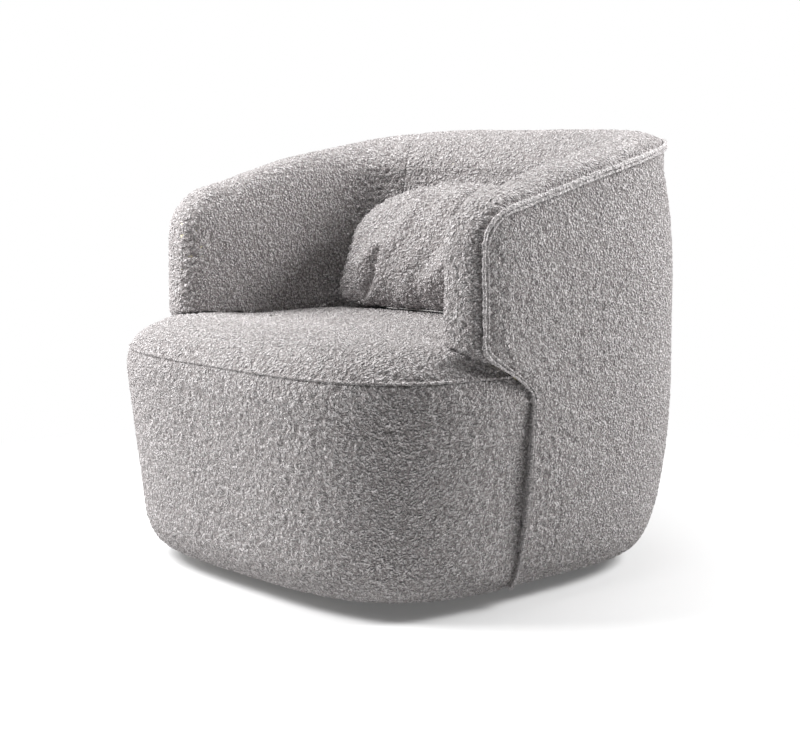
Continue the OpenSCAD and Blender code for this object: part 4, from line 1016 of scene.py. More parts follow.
@dataclass
class Welt:
    """Flat self-covered welt along the joint, the arm's front and the rim."""

    half_width: float = 7.0
    height: float = 7.6
    tilt: float = math.radians(8)
    clearance: float = -1.6
    # Painted light: a lighter copy of the bouclé, standing for the light that the welt's rounded ridges catch
    finish: str = "boucle_lit_welt"
    split: float = 1.2
    split_depth: float = 0.45
    joint_share: float = 0.6
    joint_flange: float = 5.0
    joint_top: float = 385.0
    joint_run: float = 30.0
    flange_half: float = 2.4
    flange_depth: float = 8.0
    foot_gap: float = 4.0
    sunk_most: float = 30.0
    sunk_gap: float = 8.0
    sunk_run: float = 20.0
    joint_shift: float = 0.6

    def path(self) -> tuple[Array, Array, Array, Array]:
        """Finds the welt's course.

        Returns:
            Its middle line from foot to foot, its outward side, its share of the full width and the depth
            added to its flange.
        """
        upright_top = (FORM.sweep_top_z + FORM.rim_arm_z - FORM.arm_corner_r) / 2
        z = np.linspace(FORM.skirt_z + self.foot_gap, upright_top, 900)
        y = FORM.welt_y(z)
        turn = np.linspace(0, math.pi / 2, 200)
        corner_y = FORM.arm_front_y + FORM.arm_corner_r * (1 - np.cos(turn))
        corner_z = FORM.rim_z(corner_y) - FORM.arm_corner_r * (1 - np.sin(turn))
        arm_y = np.linspace(corner_y[-1], FORM.wide_y, 120)[1:-1]
        ys = np.concatenate([y, corner_y, arm_y])
        zs = np.concatenate([z, corner_z, FORM.rim_z(arm_y)])
        rear = np.radians(np.linspace(0, 90, 600))
        angles = np.concatenate([FORM.angle_at(ys), rear])
        zs = np.concatenate([zs, FORM.rim_z(FORM.outline(rear)[:, 1])])
        u = np.linspace(0, 2, 4000)
        inset, height = FORM.front_profile(u)
        step = np.interp(zs, height, inset) - FORM.shell_inset(zs)
        proud = np.maximum(0, -step) * (zs < FORM.seat_roll_z)
        under = smooth((self.joint_top + self.sunk_gap - zs) / self.sunk_run)
        sunk = (np.clip(step, 0, self.sunk_most) + self.joint_flange) * under
        half = FORM.shell_point(angles, zs, -self.clearance - self.height / 2 - proud)
        nearer = FORM.shell_point(angles, zs, -self.clearance - self.height / 2 - proud + 10)
        away = unit(half - nearer)
        flip = np.array([-1.0, 1.0, 1.0])
        line = np.concatenate([half, half[-2::-1] * flip])
        away = np.concatenate([away, away[-2::-1] * flip])
        sunk = np.concatenate([sunk, sunk[-2::-1]])
        places = evenly(line, STEP * 0.9)
        line, away, sunk = at_rows(line, places), unit(at_rows(away, places)), at_rows(sunk, places)
        narrow = mix(self.joint_share, 1.0, smooth((line[:, 2] - self.joint_top) / self.joint_run))
        return line, away, np.where(line[:, 1] < FORM.wide_y, narrow, 1.0), sunk

    def section(self) -> Array:
        """Returns the section: two rolls with a sewn groove, and a flange that runs in between the covers."""
        turn = np.linspace(0, math.pi, 15)
        lobes = []
        for first, last in ((self.half_width, self.split), (self.split, -self.half_width)):
            across = (first + last) / 2 + (first - last) / 2 * np.cos(turn)
            off = self.height * mix(self.split_depth, 1.0, np.sin(turn))
            lobes.append(np.stack([across, off], -1))
        flange = self.flange_half * np.array([-1.0, -0.8, 0.8, 1.0])
        low = np.array([0.0, -self.flange_depth, -self.flange_depth, 0.0])
        points = np.concatenate([lobes[0], lobes[1][1:], np.stack([flange, low], -1)])
        return points - [0.0, self.height / 2]

    def build(self) -> bpy.types.Object:
        """Builds the welt as one closed strip."""
        line, away, share, sunk = self.path()
        along = unit(np.gradient(line, axis=0))
        across = unit(np.cross(along, away))
        off = unit(np.cross(across, along))
        across, off = (
            across * math.cos(self.tilt) + off * math.sin(self.tilt),
            off * math.cos(self.tilt) - across * math.sin(self.tilt),
        )
        section = self.section()
        share, sunk = share[:, None, None], sunk[:, None, None]
        wide = section[None, :, :1] * share + (1 - share) * self.half_width * self.joint_shift
        deep = section[None, :, 1:] - sunk * (section[None, :, 1:] < -self.height)
        rings = line[:, None] + wide * across[:, None] + deep * off[:, None]
        mesh = MeshBuilder()
        numbers = mesh.add(rings)
        mesh.quads(closed(numbers), flip=True)
        mesh.faces.append(numbers[0][None])
        mesh.faces.append(numbers[-1][::-1][None])
        piece = mesh.build("rim_flat_welt")
        Nap(curl_height=0.0021, clump_height=0.0014).raise_on(piece)
        return piece


@dataclass(frozen=True)
class Fold:
    """A soft ridge or crease of the pillow's cover, along a line in the pillow's own plane."""

    line: tuple[tuple[float, float], ...]
    height: float
    width: float

    def depth_at(self, x: Array, up: Array) -> Array:
        """Returns the fold's height over each place."""
        nearest = np.full(x.shape, 1e9)
        for (x0, u0), (x1, u1) in zip(self.line[:-1], self.line[1:]):
            dx, du = x1 - x0, u1 - u0
            share = clamp(((x - x0) * dx + (up - u0) * du) / (dx * dx + du * du))
            nearest = np.minimum(nearest, np.hypot(x - x0 - share * dx, up - u0 - share * du))
        return self.height * bell(nearest, self.width)


@dataclass
class Pillow:
    """Loose lumbar pillow, filled by a cloth simulation and lying against the back."""

    width: float = 590.0
    height: float = 276.0
    thick: float = 156.0
    lean: float = math.radians(17)
    low_y: float = 108.9
    low_z: float = 424.0
    bend: float = 40.0
    square_top: float = 2.1
    square_low: float = 6.5
    draw: float = 0.05
    swell_reach: float = 2.5
    swell_fall: float = 0.8
    slack: float = 0.95
    fill_share: float = 0.62
    fill_inset: float = 26.0
    cap: float = 6.0
    frames: int = 18
    voxel: float = 0.0052
    seam_reach: float = 7.0
    soft_run: float = 3.0
    groove: float = 3.2
    groove_width: float = 2.6
    # Settings of the cloth simulation that swells the cover
    filling: tuple[tuple[str, float], ...] = (
        ("use_pressure", True),
        ("uniform_pressure_force", 4.0),
        ("quality", 6),
        ("mass", 0.35),
        ("tension_stiffness", 12),
        ("compression_stiffness", 12),
        ("bending_stiffness", 0.6),
        ("shrink_min", -0.055),
        ("shrink_max", 0.03),
    )

    def place(self, x: Array, up: Array, out: Array) -> Array:
        """Returns points from the pillow's own directions: along, up and out of its front."""
        v = up + self.height / 2
        c, s = math.cos(self.lean), math.sin(self.lean)
        y = self.low_y + v * s - out * c - self.bend * (2 * x / self.width) ** 2
        return np.stack([x + 0 * y, y, self.low_z + v * c + out * s], -1)

    def own(self, points: Array) -> tuple[Array, Array, Array]:
        """Returns the pillow's own directions of points in the chair's frame."""
        x = points[..., 0]
        y = points[..., 1] - self.low_y + self.bend * (2 * x / self.width) ** 2
        z = points[..., 2] - self.low_z
        c, s = math.cos(self.lean), math.sin(self.lean)
        return x, y * s + z * c - self.height / 2, z * s - y * c

    def plump(self, name: str, cols: int, slack: float, inset: float) -> bpy.types.Object:
        """Builds the plain form of the pillow as one closed mesh.

        Args:
            name: The object's name.
            cols: Points round its seam.
            slack: Share of the full swell that it has.
            inset: Distance of its edge from the seam.
        """
        shares = np.linspace(1, 0, cols // 5)[:-1] ** 0.8
        around = np.linspace(0, 2 * math.pi, cols, endpoint=False)
        n = np.where(np.sin(around) < 0, self.square_low, self.square_top)
        a = np.arctan2(signed_power(np.sin(around), n / 2), signed_power(np.cos(around), n / 2))
        u, v = signed_power(np.cos(a), 2 / n), signed_power(np.sin(a), 2 / n)
        share = shares[:, None]
        x = share * u * (self.width / 2 * (1 - self.draw * (1 - v * v)) - inset)
        up = share * v * (self.height / 2 * (1 - self.draw * (1 - u * u)) - inset)
        out = slack * self.thick / 2 * (1 - share**self.swell_reach) ** self.swell_fall + 0 * x
        mesh = MeshBuilder()
        rim = mesh.add(self.place(x[0], up[0], 0 * x[0]))
        for sign in (1, -1):
            rings = mesh.add(self.place(x[1:], up[1:], sign * out[1:]))
            crown = np.full(1, sign * slack * self.thick / 2)
            middle = mesh.add(self.place(np.zeros(1), np.zeros(1), crown))
            grid = np.concatenate([rim[None], rings])
            mesh.quads(closed(grid), flip=sign < 0)
            for c in range(cols):
                fan = [grid[-1, c], grid[-1, (c + 1) % cols], middle[0]]
                mesh.faces.append(np.array(fan if sign > 0 else fan[::-1])[None])
        return mesh.build(name)

    def fill(self, piece: bpy.types.Object) -> None:
        """Swells the pillow with a short cloth simulation, so that its seam puckers, and applies it."""
        apply_modifier(piece, "REMESH", mode="VOXEL", voxel_size=self.voxel, use_smooth_shade=True)
        rest = self.points(piece)
        select_only(piece)
        group = piece.vertex_groups.new(name="seam")
        out = np.abs(self.own(rest / MM)[2])
        group.add(np.flatnonzero(out < self.seam_reach).tolist(), 1.0, "REPLACE")
        cloth = piece.modifiers.new("filling", "CLOTH")
        for key, value in self.filling:
            setattr(cloth.settings, key, value)
        cloth.settings.vertex_group_shrink = group.name
        cloth.settings.effector_weights.gravity = 0.0
        cloth.point_cache.frame_start, cloth.point_cache.frame_end = 1, self.frames
        for number in range(1, self.frames + 1):
            bpy.context.scene.frame_set(number)
        bpy.ops.object.modifier_apply(modifier=cloth.name)
        bpy.context.scene.frame_set(1)
        piece.vertex_groups.clear()
        moved = self.points(piece)
        move = moved - rest
        far = np.linalg.norm(move, axis=1, keepdims=True)
        cap = self.cap * MM
        self.set_points(piece, rest + move * np.minimum(1, cap / np.maximum(far, 1e-9)))

    def folds(self) -> tuple[Fold, ...]:
        """Returns the slanting folds that the fill makes in the front."""
        return (
            Fold(((-190, -60), (-157, -28), (-98, -14), (-68, 49), (-55, 91), (-50, 120)), 7.5, 19),
            Fold(((-95, -122), (-77, -106), (16, -69), (60, -36), (120, 10)), 6.5, 17),
            Fold(((-139, -30), (-150, -52), (-160, -80), (-190, -112)), -8.5, 9),
            Fold(((50, 12), (45, 40), (44, 63), (33, 104)), -9.5, 8),
            Fold(((-112, 58), (-101, 83), (-97, 116)), -7.5, 8),
            Fold(((-50, -92), (-6, -46), (22, -8)), -7.0, 20),
            Fold(((-5, 30), (5, 62), (-4, 100)), 4.5, 15),
            Fold(((92, 20), (86, 60), (72, 104)), 6.0, 16),
            Fold(((150, -60), (120, 0), (132, 60), (140, 100)), -6.0, 12),
            Fold(((215, -70), (190, -10), (178, 50)), 6.0, 20),
            Fold(((-245, -100), (-225, -50), (-215, 0)), 4.0, 16),
            Fold(((20, -118), (52, -88), (96, -64)), -5.0, 9),
        )

    def sculpt(self, piece: bpy.types.Object) -> None:
        """Adds the folds, the seam's groove and puckers, and keeps the pillow off the seat and the back."""
        apply_modifier(piece, "SUBSURF", levels=1, render_levels=1)
        points = self.points(piece) / MM
        facing = np.zeros(len(points) * 3, np.float32)
        piece.data.vertices.foreach_get("normal", facing)
        facing = facing.reshape(-1, 3)
        x, up, out = self.own(points)
        u, v = x / (self.width / 2), up / (self.height / 2)
        rim = np.abs(u) ** 2.6 + np.abs(v) ** 2.6
        inside = smooth((1.0 - rim) / 0.25) * smooth(out / 20)
        lift = sum(fold.depth_at(x, up) for fold in self.folds()) * inside
        angle = np.arctan2(v, u)
        pucker = np.sin(angle * 61 + 2 * np.sin(angle * 7)) * 1.1 + np.sin(angle * 37 + 1) * 1.2
        near_seam = bell(np.abs(out) - 12, 13)
        lift = lift + pucker * near_seam - self.groove * bell(out, self.groove_width)
        points = points + facing * lift[:, None]
        self.set_points(piece, self.kept_clear(points) * MM)

    def kept_clear(self, points: Array, gap: float = 1.6) -> Array:
        """Returns points pressed flat where they would come nearer than a gap to the seat or the back."""
        soft = self.soft_run
        x, y, z = points.T
        seat = FORM.seat_z(x, y) + gap
        z = np.where(z < seat + soft, seat + soft * np.exp(np.minimum((z - seat - soft) / soft, 0)), z)
        lean = FORM.shell_inset(z)
        half = FORM.half_w - lean - FORM.arm_t
        deep = FORM.depth_back - lean - FORM.back_depth(z)
        n = FORM.square_back
        wall = FORM.wide_y + deep * clamp(1 - (np.abs(x) / half) ** n) ** (1 / n) - gap
        y = np.where(y > wall - soft, wall - soft * np.exp(np.minimum((wall - soft - y) / soft, 0)), y)
        return np.stack([x, y, z], -1)

    @staticmethod
    def points(piece: bpy.types.Object) -> Array:
        """Returns the mesh's points in metres."""
        flat = np.zeros(len(piece.data.vertices) * 3, np.float32)
        piece.data.vertices.foreach_get("co", flat)
        return flat.reshape(-1, 3).astype(float)

    @staticmethod
    def set_points(piece: bpy.types.Object, points: Array) -> None:
        """Moves the mesh's points."""
        piece.data.vertices.foreach_set("co", points.astype(np.float32).ravel())
        piece.data.update()

    def build(self) -> bpy.types.Object:
        """Builds the pillow's cover."""
        piece = self.plump("pillow_cover", 220, self.slack, 0.0)
        self.fill(piece)
        self.sculpt(piece)
        apply_modifier(piece, "SUBSURF", levels=1, render_levels=1)
        Nap(curl_height=0.0028, clump_height=0.0019).raise_on(piece)
        piece.data.shade_smooth()
        return piece

    def build_fill(self) -> bpy.types.Object:
        """Builds the fibre fill, which stays a little inside the cover and its folds."""
        piece = self.plump("pillow_fibre_fill", 96, self.fill_share, self.fill_inset)
        self.set_points(piece, self.kept_clear(self.points(piece) / MM, 5.0) * MM)
        return piece


@dataclass
class FoamPad:
    """Foam sheet under a cover, made from the cover's own points and eased away from its seams."""

    name: str
    grid: Array
    outward: int
    thick: float = 18.5
    gap: float = 3.9
    ease: float = 7.5
    ease_run: float = 18.0
    pitch: int = 4

    def build(self) -> bpy.types.Object:
        """Builds the sheet with both faces and a closed edge."""
        rows, cols = (sorted({*range(0, count, self.pitch), count - 1}) for count in self.grid.shape[:2])
        kept = np.ix_(rows, cols)
        edges = Borders(self.grid)
        ends, sides = np.minimum(edges.first_row, edges.last_row), np.minimum(edges.first_col, edges.last_col)
        face = (normals(self.grid) * self.outward)[kept]
        points, seam = self.grid[kept], np.minimum(ends, sides)[kept]
        depth = self.gap + self.ease * np.exp(-seam / self.ease_run)
        mesh = MeshBuilder()
        upper = mesh.add(points - face * depth[..., None])
        lower = mesh.add(points - face * (self.gap + self.thick))
        mesh.quads(upper, flip=self.outward > 0)
        mesh.quads(lower, flip=self.outward < 0)
        border = ClothPiece.border
        mesh.quads(np.stack([border(upper), border(lower)]), flip=self.outward < 0)
        piece = mesh.build(self.name)
        piece.data.shade_smooth()
        return piece


@dataclass
class SeatFoam:
    """Solid foam block of the seat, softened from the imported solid."""

    ease: float = 0.0016

    def build(self) -> bpy.types.Object:
        """Builds the block from a merged copy of its solid, with eased edges."""
        piece = bpy.data.objects.new("seat_foam_block", frame["nodes"]["seat_foam"].data.copy())
        bpy.context.scene.collection.objects.link(piece)
        select_only(piece)
        bpy.ops.object.mode_set(mode="EDIT")
        bpy.ops.mesh.select_all(action="SELECT")
        bpy.ops.mesh.remove_doubles(threshold=0.00005)
        bpy.ops.object.mode_set(mode="OBJECT")
        piece.data.shade_smooth()
        apply_modifier(piece, "DISPLACE", strength=-self.ease, mid_level=0.0)
        sharp = math.radians(50)
        apply_modifier(piece, "BEVEL", width=self.ease, segments=2, limit_method="ANGLE", angle_limit=sharp)
        return piece


Socket = bpy.types.NodeSocket


class Node:
    """Short ways to place and join shader nodes in one tree."""

    def __init__(self, tree: bpy.types.NodeTree) -> None:
        """Keeps the tree."""
        self.tree = tree

    def new(self, kind: str, inputs: dict | None = None, **settings: object) -> bpy.types.Node:
        """Adds a node, sets its properties, and sets or links its inputs."""
        node = self.tree.nodes.new(kind)
        for key, value in settings.items():
            setattr(node, key, value)
        for key, value in (inputs or {}).items():
            if isinstance(value, bpy.types.NodeSocket):
                self.tree.links.new(value, node.inputs[key])
            else:
                node.inputs[key].default_value = value
        return node

    def math(self, operation: str, first: object, second: object = 0.5, third: object = 0.5) -> Socket:
        """Adds a Math node and returns its result."""
        return self.new("ShaderNodeMath", {0: first, 1: second, 2: third}, operation=operation).outputs[0]

    def texture(self, kind: str, place: object, scale: object, **inputs: float) -> bpy.types.Node:
        """Adds a texture node of a kind, read at a place and at a scale."""
        named = {"Vector": place, "Scale": scale, **{key.title(): value for key, value in inputs.items()}}
        return self.new(f"ShaderNodeTex{kind}", named)

    def seen(self) -> Socket:
        """Returns 1 for rays from the camera, straight or by way of gloss or glass."""
        path = self.new("ShaderNodeLightPath")
        direct = self.math("MAXIMUM", path.outputs["Is Camera Ray"], path.outputs["Is Glossy Ray"])
        return self.math("MAXIMUM", direct, path.outputs["Is Transmission Ray"])

    def ramp(self, value: object, low: float, high: float, start: float, end: float) -> Socket:
        """Maps a value smoothly from one range to another."""
        inputs = {"Value": value, "From Min": low, "From Max": high, "To Min": start, "To Max": end}
        return self.new("ShaderNodeMapRange", inputs, interpolation_type="SMOOTHSTEP").outputs[0]

    def blend(self, share: object, low: object, high: object) -> Socket:
        """Mixes two colours by a share."""
        node = self.new("ShaderNodeMix", data_type="RGBA")
        for socket, value in ((node.inputs[0], share), (node.inputs[6], low), (node.inputs[7], high)):
            if isinstance(value, bpy.types.NodeSocket):
                self.tree.links.new(value, socket)
            else:
                socket.default_value = value
        return node.outputs[2]


class Groups:
    """Shader node groups that several finishes share, each built once."""

    def __init__(self) -> None:
        """Starts with no groups."""
        self.built: dict[str, bpy.types.NodeTree] = {}

    def start(
        self, name: str, inputs: dict[str, float], outputs: tuple[str, ...]
    ) -> tuple[Node, object, object]:
        """Starts a group.

        Args:
            name: The group's name.
            inputs: Number inputs and their first values.
            outputs: Number outputs.

        Returns:
            The node helper, the group's input node and its output node.
        """
        tree = bpy.data.node_groups.new(name, "ShaderNodeTree")
        tree.interface.new_socket("Vector", in_out="INPUT", socket_type="NodeSocketVector")
        for key, value in inputs.items():
            socket = tree.interface.new_socket(key, in_out="INPUT", socket_type="NodeSocketFloat")
            socket.default_value = value
        for key in outputs:
            tree.interface.new_socket(key, in_out="OUTPUT", socket_type="NodeSocketFloat")
        self.built[name] = tree
        helper = Node(tree)
        return helper, helper.new("NodeGroupInput"), helper.new("NodeGroupOutput")

    def pile(self) -> bpy.types.NodeTree:
        """Returns the looped pile: its height, and a mask that is 1 on the loops and 0 in the gaps, where the
        finishes paint shade into the colour.
        """
        if "looped_pile" in self.built:
            return self.built["looped_pile"]
        inputs = {"Curls": 165.0, "Twist": 0.006, "Knots": 0.4}
        node, start, end = self.start("looped_pile", inputs, ("Height", "Loops"))
        place, curls = start.outputs["Vector"], start.outputs["Curls"]
        swirl = node.texture("Noise", place, 105.0, detail=0.0).outputs["Color"]
        centred = {0: swirl, 1: (0.5, 0.5, 0.5)}
        centred = node.new("ShaderNodeVectorMath", centred, operation="SUBTRACT").outputs[0]
        turned = {0: centred, "Scale": start.outputs["Twist"]}
        turned = node.new("ShaderNodeVectorMath", turned, operation="SCALE").outputs[0]
        bent = node.new("ShaderNodeVectorMath", {0: place, 1: turned}, operation="ADD").outputs[0]
        cells = node.texture("Voronoi", bent, curls, randomness=1.0)
        cells.feature = "SMOOTH_F1"
        cells.inputs["Smoothness"].default_value = 0.35
        loops = node.ramp(cells.outputs["Distance"], 0.62, 0.02, 0.0, 1.0)
        strands = node.texture("Noise", bent, node.math("MULTIPLY", curls, 1.5), detail=0.0)
        strand = node.ramp(strands.outputs[0], 0.25, 0.75, 0.0, 1.0)
        threads = node.texture("Noise", bent, node.math("MULTIPLY", curls, 2.3), detail=0.5)
        thread = node.ramp(threads.outputs[0], 0.25, 0.75, 0.0, 1.0)
        knots = node.texture("Voronoi", bent, 82.0, randomness=1.0)
        knot = node.ramp(knots.outputs["Distance"], 0.34, 0.10, 0.0, 1.0)
        coarse = node.math("MULTIPLY_ADD", strand, 0.10, node.math("MULTIPLY", loops, 0.62))
        mixed = node.math("MULTIPLY_ADD", thread, 0.28, coarse)
        varied = node.math("MULTIPLY_ADD", node.math("MULTIPLY", knot, start.outputs["Knots"]), 0.6, mixed)
        node.tree.links.new(varied, end.inputs["Height"])
        # The loops mask decides where the gaps between the loops get painted shade
        node.tree.links.new(node.ramp(varied, 0.16, 0.50, 0.0, 1.0), end.inputs["Loops"])
        return self.built["looped_pile"]

    def grain(self) -> bpy.types.NodeTree:
        """Returns long wood grain with plies: a mask and a height."""
        if "wood_grain" in self.built:
            return self.built["wood_grain"]
        inputs = {"Rings": 26.0, "Stretch": 14.0}
        node, start, end = self.start("wood_grain", inputs, ("Grain", "Pores"))
        vector, stretch = start.outputs["Vector"], start.outputs["Stretch"]
        stretch = node.new("ShaderNodeCombineXYZ", {0: 1.0, 1: stretch, 2: stretch}).outputs[0]
        place = node.new("ShaderNodeVectorMath", {0: vector, 1: stretch}, operation="MULTIPLY").outputs[0]
        rings = node.texture("Wave", place, start.outputs["Rings"], distortion=7.0, detail=3.0)
        rings.inputs["Detail Scale"].default_value = 0.6
        pores = node.texture("Noise", place, 130.0, detail=4.0)
        node.tree.links.new(rings.outputs["Fac"], end.inputs["Grain"])
        node.tree.links.new(node.ramp(pores.outputs[0], 0.35, 0.7, 0.0, 1.0), end.inputs["Pores"])
        return self.built["wood_grain"]

    def dust(self) -> bpy.types.NodeTree:
        """Returns fine speckle with soft blotches, as on felt, paint and worn metal."""
        if "speckle" in self.built:
            return self.built["speckle"]
        node, start, end = self.start("speckle", {"Fine": 900.0, "Broad": 30.0}, ("Speckle", "Blotch"))
        place = start.outputs["Vector"]
        fine = node.texture("Noise", place, start.outputs["Fine"], detail=2.0)
        broad = node.texture("Noise", place, start.outputs["Broad"], detail=4.0)
        node.tree.links.new(node.ramp(fine.outputs[0], 0.3, 0.7, 0.0, 1.0), end.inputs["Speckle"])
        node.tree.links.new(node.ramp(broad.outputs[0], 0.3, 0.7, 0.0, 1.0), end.inputs["Blotch"])
        return self.built["speckle"]


GROUPS = Groups()
Colour = tuple[float, float, float, float]


@dataclass(frozen=True)
class Finish:
    """A finish with its own material; each kind of surface fills in its nodes."""

    name: str
    light: Colour
    dark: Colour
    roughness: float = 0.8
    bump: float = 0.5
    relief: float = 0.001

    def material(self) -> bpy.types.Material:
        """Builds the finish's material with a Principled BSDF."""
        made = bpy.data.materials.new(self.name)
        made.use_nodes = True
        node = Node(made.node_tree)
        shader = made.node_tree.nodes["Principled BSDF"]
        shader.inputs["Roughness"].default_value = self.roughness
        place = node.new("ShaderNodeTexCoord").outputs["Object"]
        colour, height = self.surface(node, place, shader)
        made.node_tree.links.new(colour, shader.inputs["Base Color"])
        bump = node.new("ShaderNodeBump", {"Strength": self.bump, "Distance": self.relief, "Height": height})
        made.node_tree.links.new(bump.outputs[0], shader.inputs["Normal"])
        return made

    def surface(self, node: Node, place: object, shader: bpy.types.Node) -> tuple[object, object]:
        """Adds fine speckle over soft blotches and returns colour and height."""
        speckle = node.new("ShaderNodeGroup", node_tree=GROUPS.dust())
        node.tree.links.new(place, speckle.inputs["Vector"])
        fine = node.math("MULTIPLY", speckle.outputs["Speckle"], 0.5)
        share = node.math("MULTIPLY_ADD", speckle.outputs["Blotch"], 0.45, fine)
        return node.blend(share, self.dark, self.light), speckle.outputs["Speckle"]


@dataclass(frozen=True)
class Boucle(Finish):
    """Looped wool pile with bright tips, a soft sheen and painted shade darkening the gaps between the loops.
    """

    curls: float = 215.0
    twist: float = 0.003
    knots: float = 0.5
    sheen: float = 0.35

    def surface(self, node: Node, place: object, shader: bpy.types.Node) -> tuple[object, object]:
        """Adds the pile's nodes and returns its colour and height."""
        shader.inputs["Sheen Weight"].default_value = self.sheen
        shader.inputs["Sheen Roughness"].default_value = 0.6
        shader.inputs["Sheen Tint"].default_value = (1.0, 0.99, 0.98, 1.0)
        shader.inputs["Specular IOR Level"].default_value = 0.15
        pile = node.new("ShaderNodeGroup", node_tree=GROUPS.pile())
        node.tree.links.new(place, pile.inputs["Vector"])
        for key in ("curls", "twist", "knots"):
            pile.inputs[key.title()].default_value = getattr(self, key)
        # Painted shade: the gaps take the dark colour, in place of the shade that the loops cast into them
        colour = node.blend(pile.outputs["Loops"], self.dark, self.light)
        return colour, pile.outputs["Height"]


@dataclass(frozen=True)
class Foam(Finish):
    """Open-celled cut foam."""

    cells: float = 700.0

    def surface(self, node: Node, place: object, shader: bpy.types.Node) -> tuple[object, object]:
        """Adds the foam's cells and a slow yellowing and returns colour and height."""
        cells = node.texture("Voronoi", place, self.cells)
        aged = node.texture("Noise", place, 9.0, detail=3.0)
        wall = node.ramp(cells.outputs["Distance"], 0.1, 0.6, 0.0, 1.0)
        share = node.math("MULTIPLY_ADD", wall, 0.6, node.math("MULTIPLY", aged.outputs[0], 0.4))
        return node.blend(share, self.dark, self.light), wall


@dataclass(frozen=True)
class Wood(Finish):
    """Bare birch plywood and boards."""

    rings: float = 26.0

    def surface(self, node: Node, place: object, shader: bpy.types.Node) -> tuple[object, object]:
        """Adds grain and pores and returns colour and height."""
        grain = node.new("ShaderNodeGroup", node_tree=GROUPS.grain())
        node.tree.links.new(place, grain.inputs["Vector"])
        grain.inputs["Rings"].default_value = self.rings
        rings = node.math("MULTIPLY", grain.outputs["Grain"], 0.55)
        share = node.math("MULTIPLY_ADD", grain.outputs["Pores"], 0.45, rings)
        return node.blend(share, self.dark, self.light), grain.outputs["Pores"]


@dataclass(frozen=True)
class Metal(Finish):
    """Turned or pressed metal with brushed streaks."""

    streaks: float = 260.0

    def surface(self, node: Node, place: object, shader: bpy.types.Node) -> tuple[object, object]:
        """Adds streaks and slight tarnish and returns colour and height."""
        shader.inputs["Metallic"].default_value = 1.0
        speckle = node.new("ShaderNodeGroup", node_tree=GROUPS.dust())
        node.tree.links.new(place, speckle.inputs["Vector"])
        speckle.inputs["Fine"].default_value = self.streaks
        rough = node.ramp(speckle.outputs["Blotch"], 0.0, 1.0, self.roughness - 0.08, self.roughness + 0.12)
        node.tree.links.new(rough, shader.inputs["Roughness"])
        return node.blend(speckle.outputs["Blotch"], self.dark, self.light), speckle.outputs["Speckle"]


@dataclass(frozen=True)
class Woven(Finish):
    """Tight woven webbing or zip tape."""

    threads: float = 420.0

    def surface(self, node: Node, place: object, shader: bpy.types.Node) -> tuple[object, object]:
        """Adds crossing threads and returns colour and height."""
        waves = []
        for direction in ("X", "Y"):
            wave = node.texture("Wave", place, self.threads, distortion=0.6, detail=1.0)
            wave.bands_direction = direction
            waves.append(wave.outputs["Fac"])
        height = node.math("MAXIMUM", waves[0], waves[1])
        return node.blend(height, self.dark, self.light), height


def grey(value: float, warm: float = 0.0) -> Colour:
    """Returns a linear grey, a little warm or cool."""
    return (value * (1 + warm), value, value * (1 - warm), 1.0)


# Light grey of the yarn, and painted shade for the gaps between the loops
CLOTH_LIGHT = (0.840, 0.798, 0.803, 1.0)
CLOTH_GAP_SHADE = (0.320, 0.287, 0.286, 1.0)
# Lighter painted gap shade for the welt's copy of the bouclé, so that the welt reads as lit
CLOTH_LIT_WELT_GAP_SHADE = (0.520, 0.492, 0.490, 1.0)
FINISHES: dict[str, Finish] = {
    "boucle": Boucle("grey_boucle", CLOTH_LIGHT, CLOTH_GAP_SHADE, 0.92, 1.0, 0.0125),
    # Painted light: the welt is the same cloth, made lighter to stand for the light on its rounded ridges
    "boucle_lit_welt": Boucle("grey_boucle_tight", CLOTH_LIGHT, CLOTH_LIT_WELT_GAP_SHADE, 0.92, 0.9, 0.008),
    "foam": Foam("cut_foam", (0.80, 0.74, 0.56, 1), (0.60, 0.52, 0.34, 1), 0.9, 0.5, 0.0008),
    "fill": Foam("fibre_fill", grey(0.86, 0.01), grey(0.62, 0.02), 0.95, 0.6, 0.0012, cells=260.0),
    "plywood": Wood("birch_plywood", (0.66, 0.49, 0.31, 1), (0.42, 0.27, 0.14, 1), 0.62, 0.25, 0.0005),
    "webbing": Woven("jute_webbing", grey(0.10, 0.05), grey(0.03, 0.05), 0.85, 0.8, 0.0008),
    "dust_cloth": Woven("dust_cloth", grey(0.060), grey(0.022), 0.95, 0.5, 0.0004, threads=900.0),
    "felt": Finish("pressed_felt", grey(0.14, 0.02), grey(0.05, 0.02), 0.97, 0.8, 0.0006),
    "dark_base": Finish("black_plinth_paint", grey(0.030), grey(0.014), 0.48, 0.15, 0.0002),
    "steel": Metal("zinc_plated_steel", grey(0.66, -0.01), grey(0.48, -0.01), 0.32, 0.12, 0.0002),
    "brass": Metal("brass_cage", (0.74, 0.56, 0.27, 1), (0.52, 0.36, 0.15, 1), 0.34, 0.12, 0.0002),
    "zip": Woven("zip_tape", grey(0.34, 0.02), grey(0.14, 0.02), 0.6, 0.6, 0.0006, threads=1200.0),
}


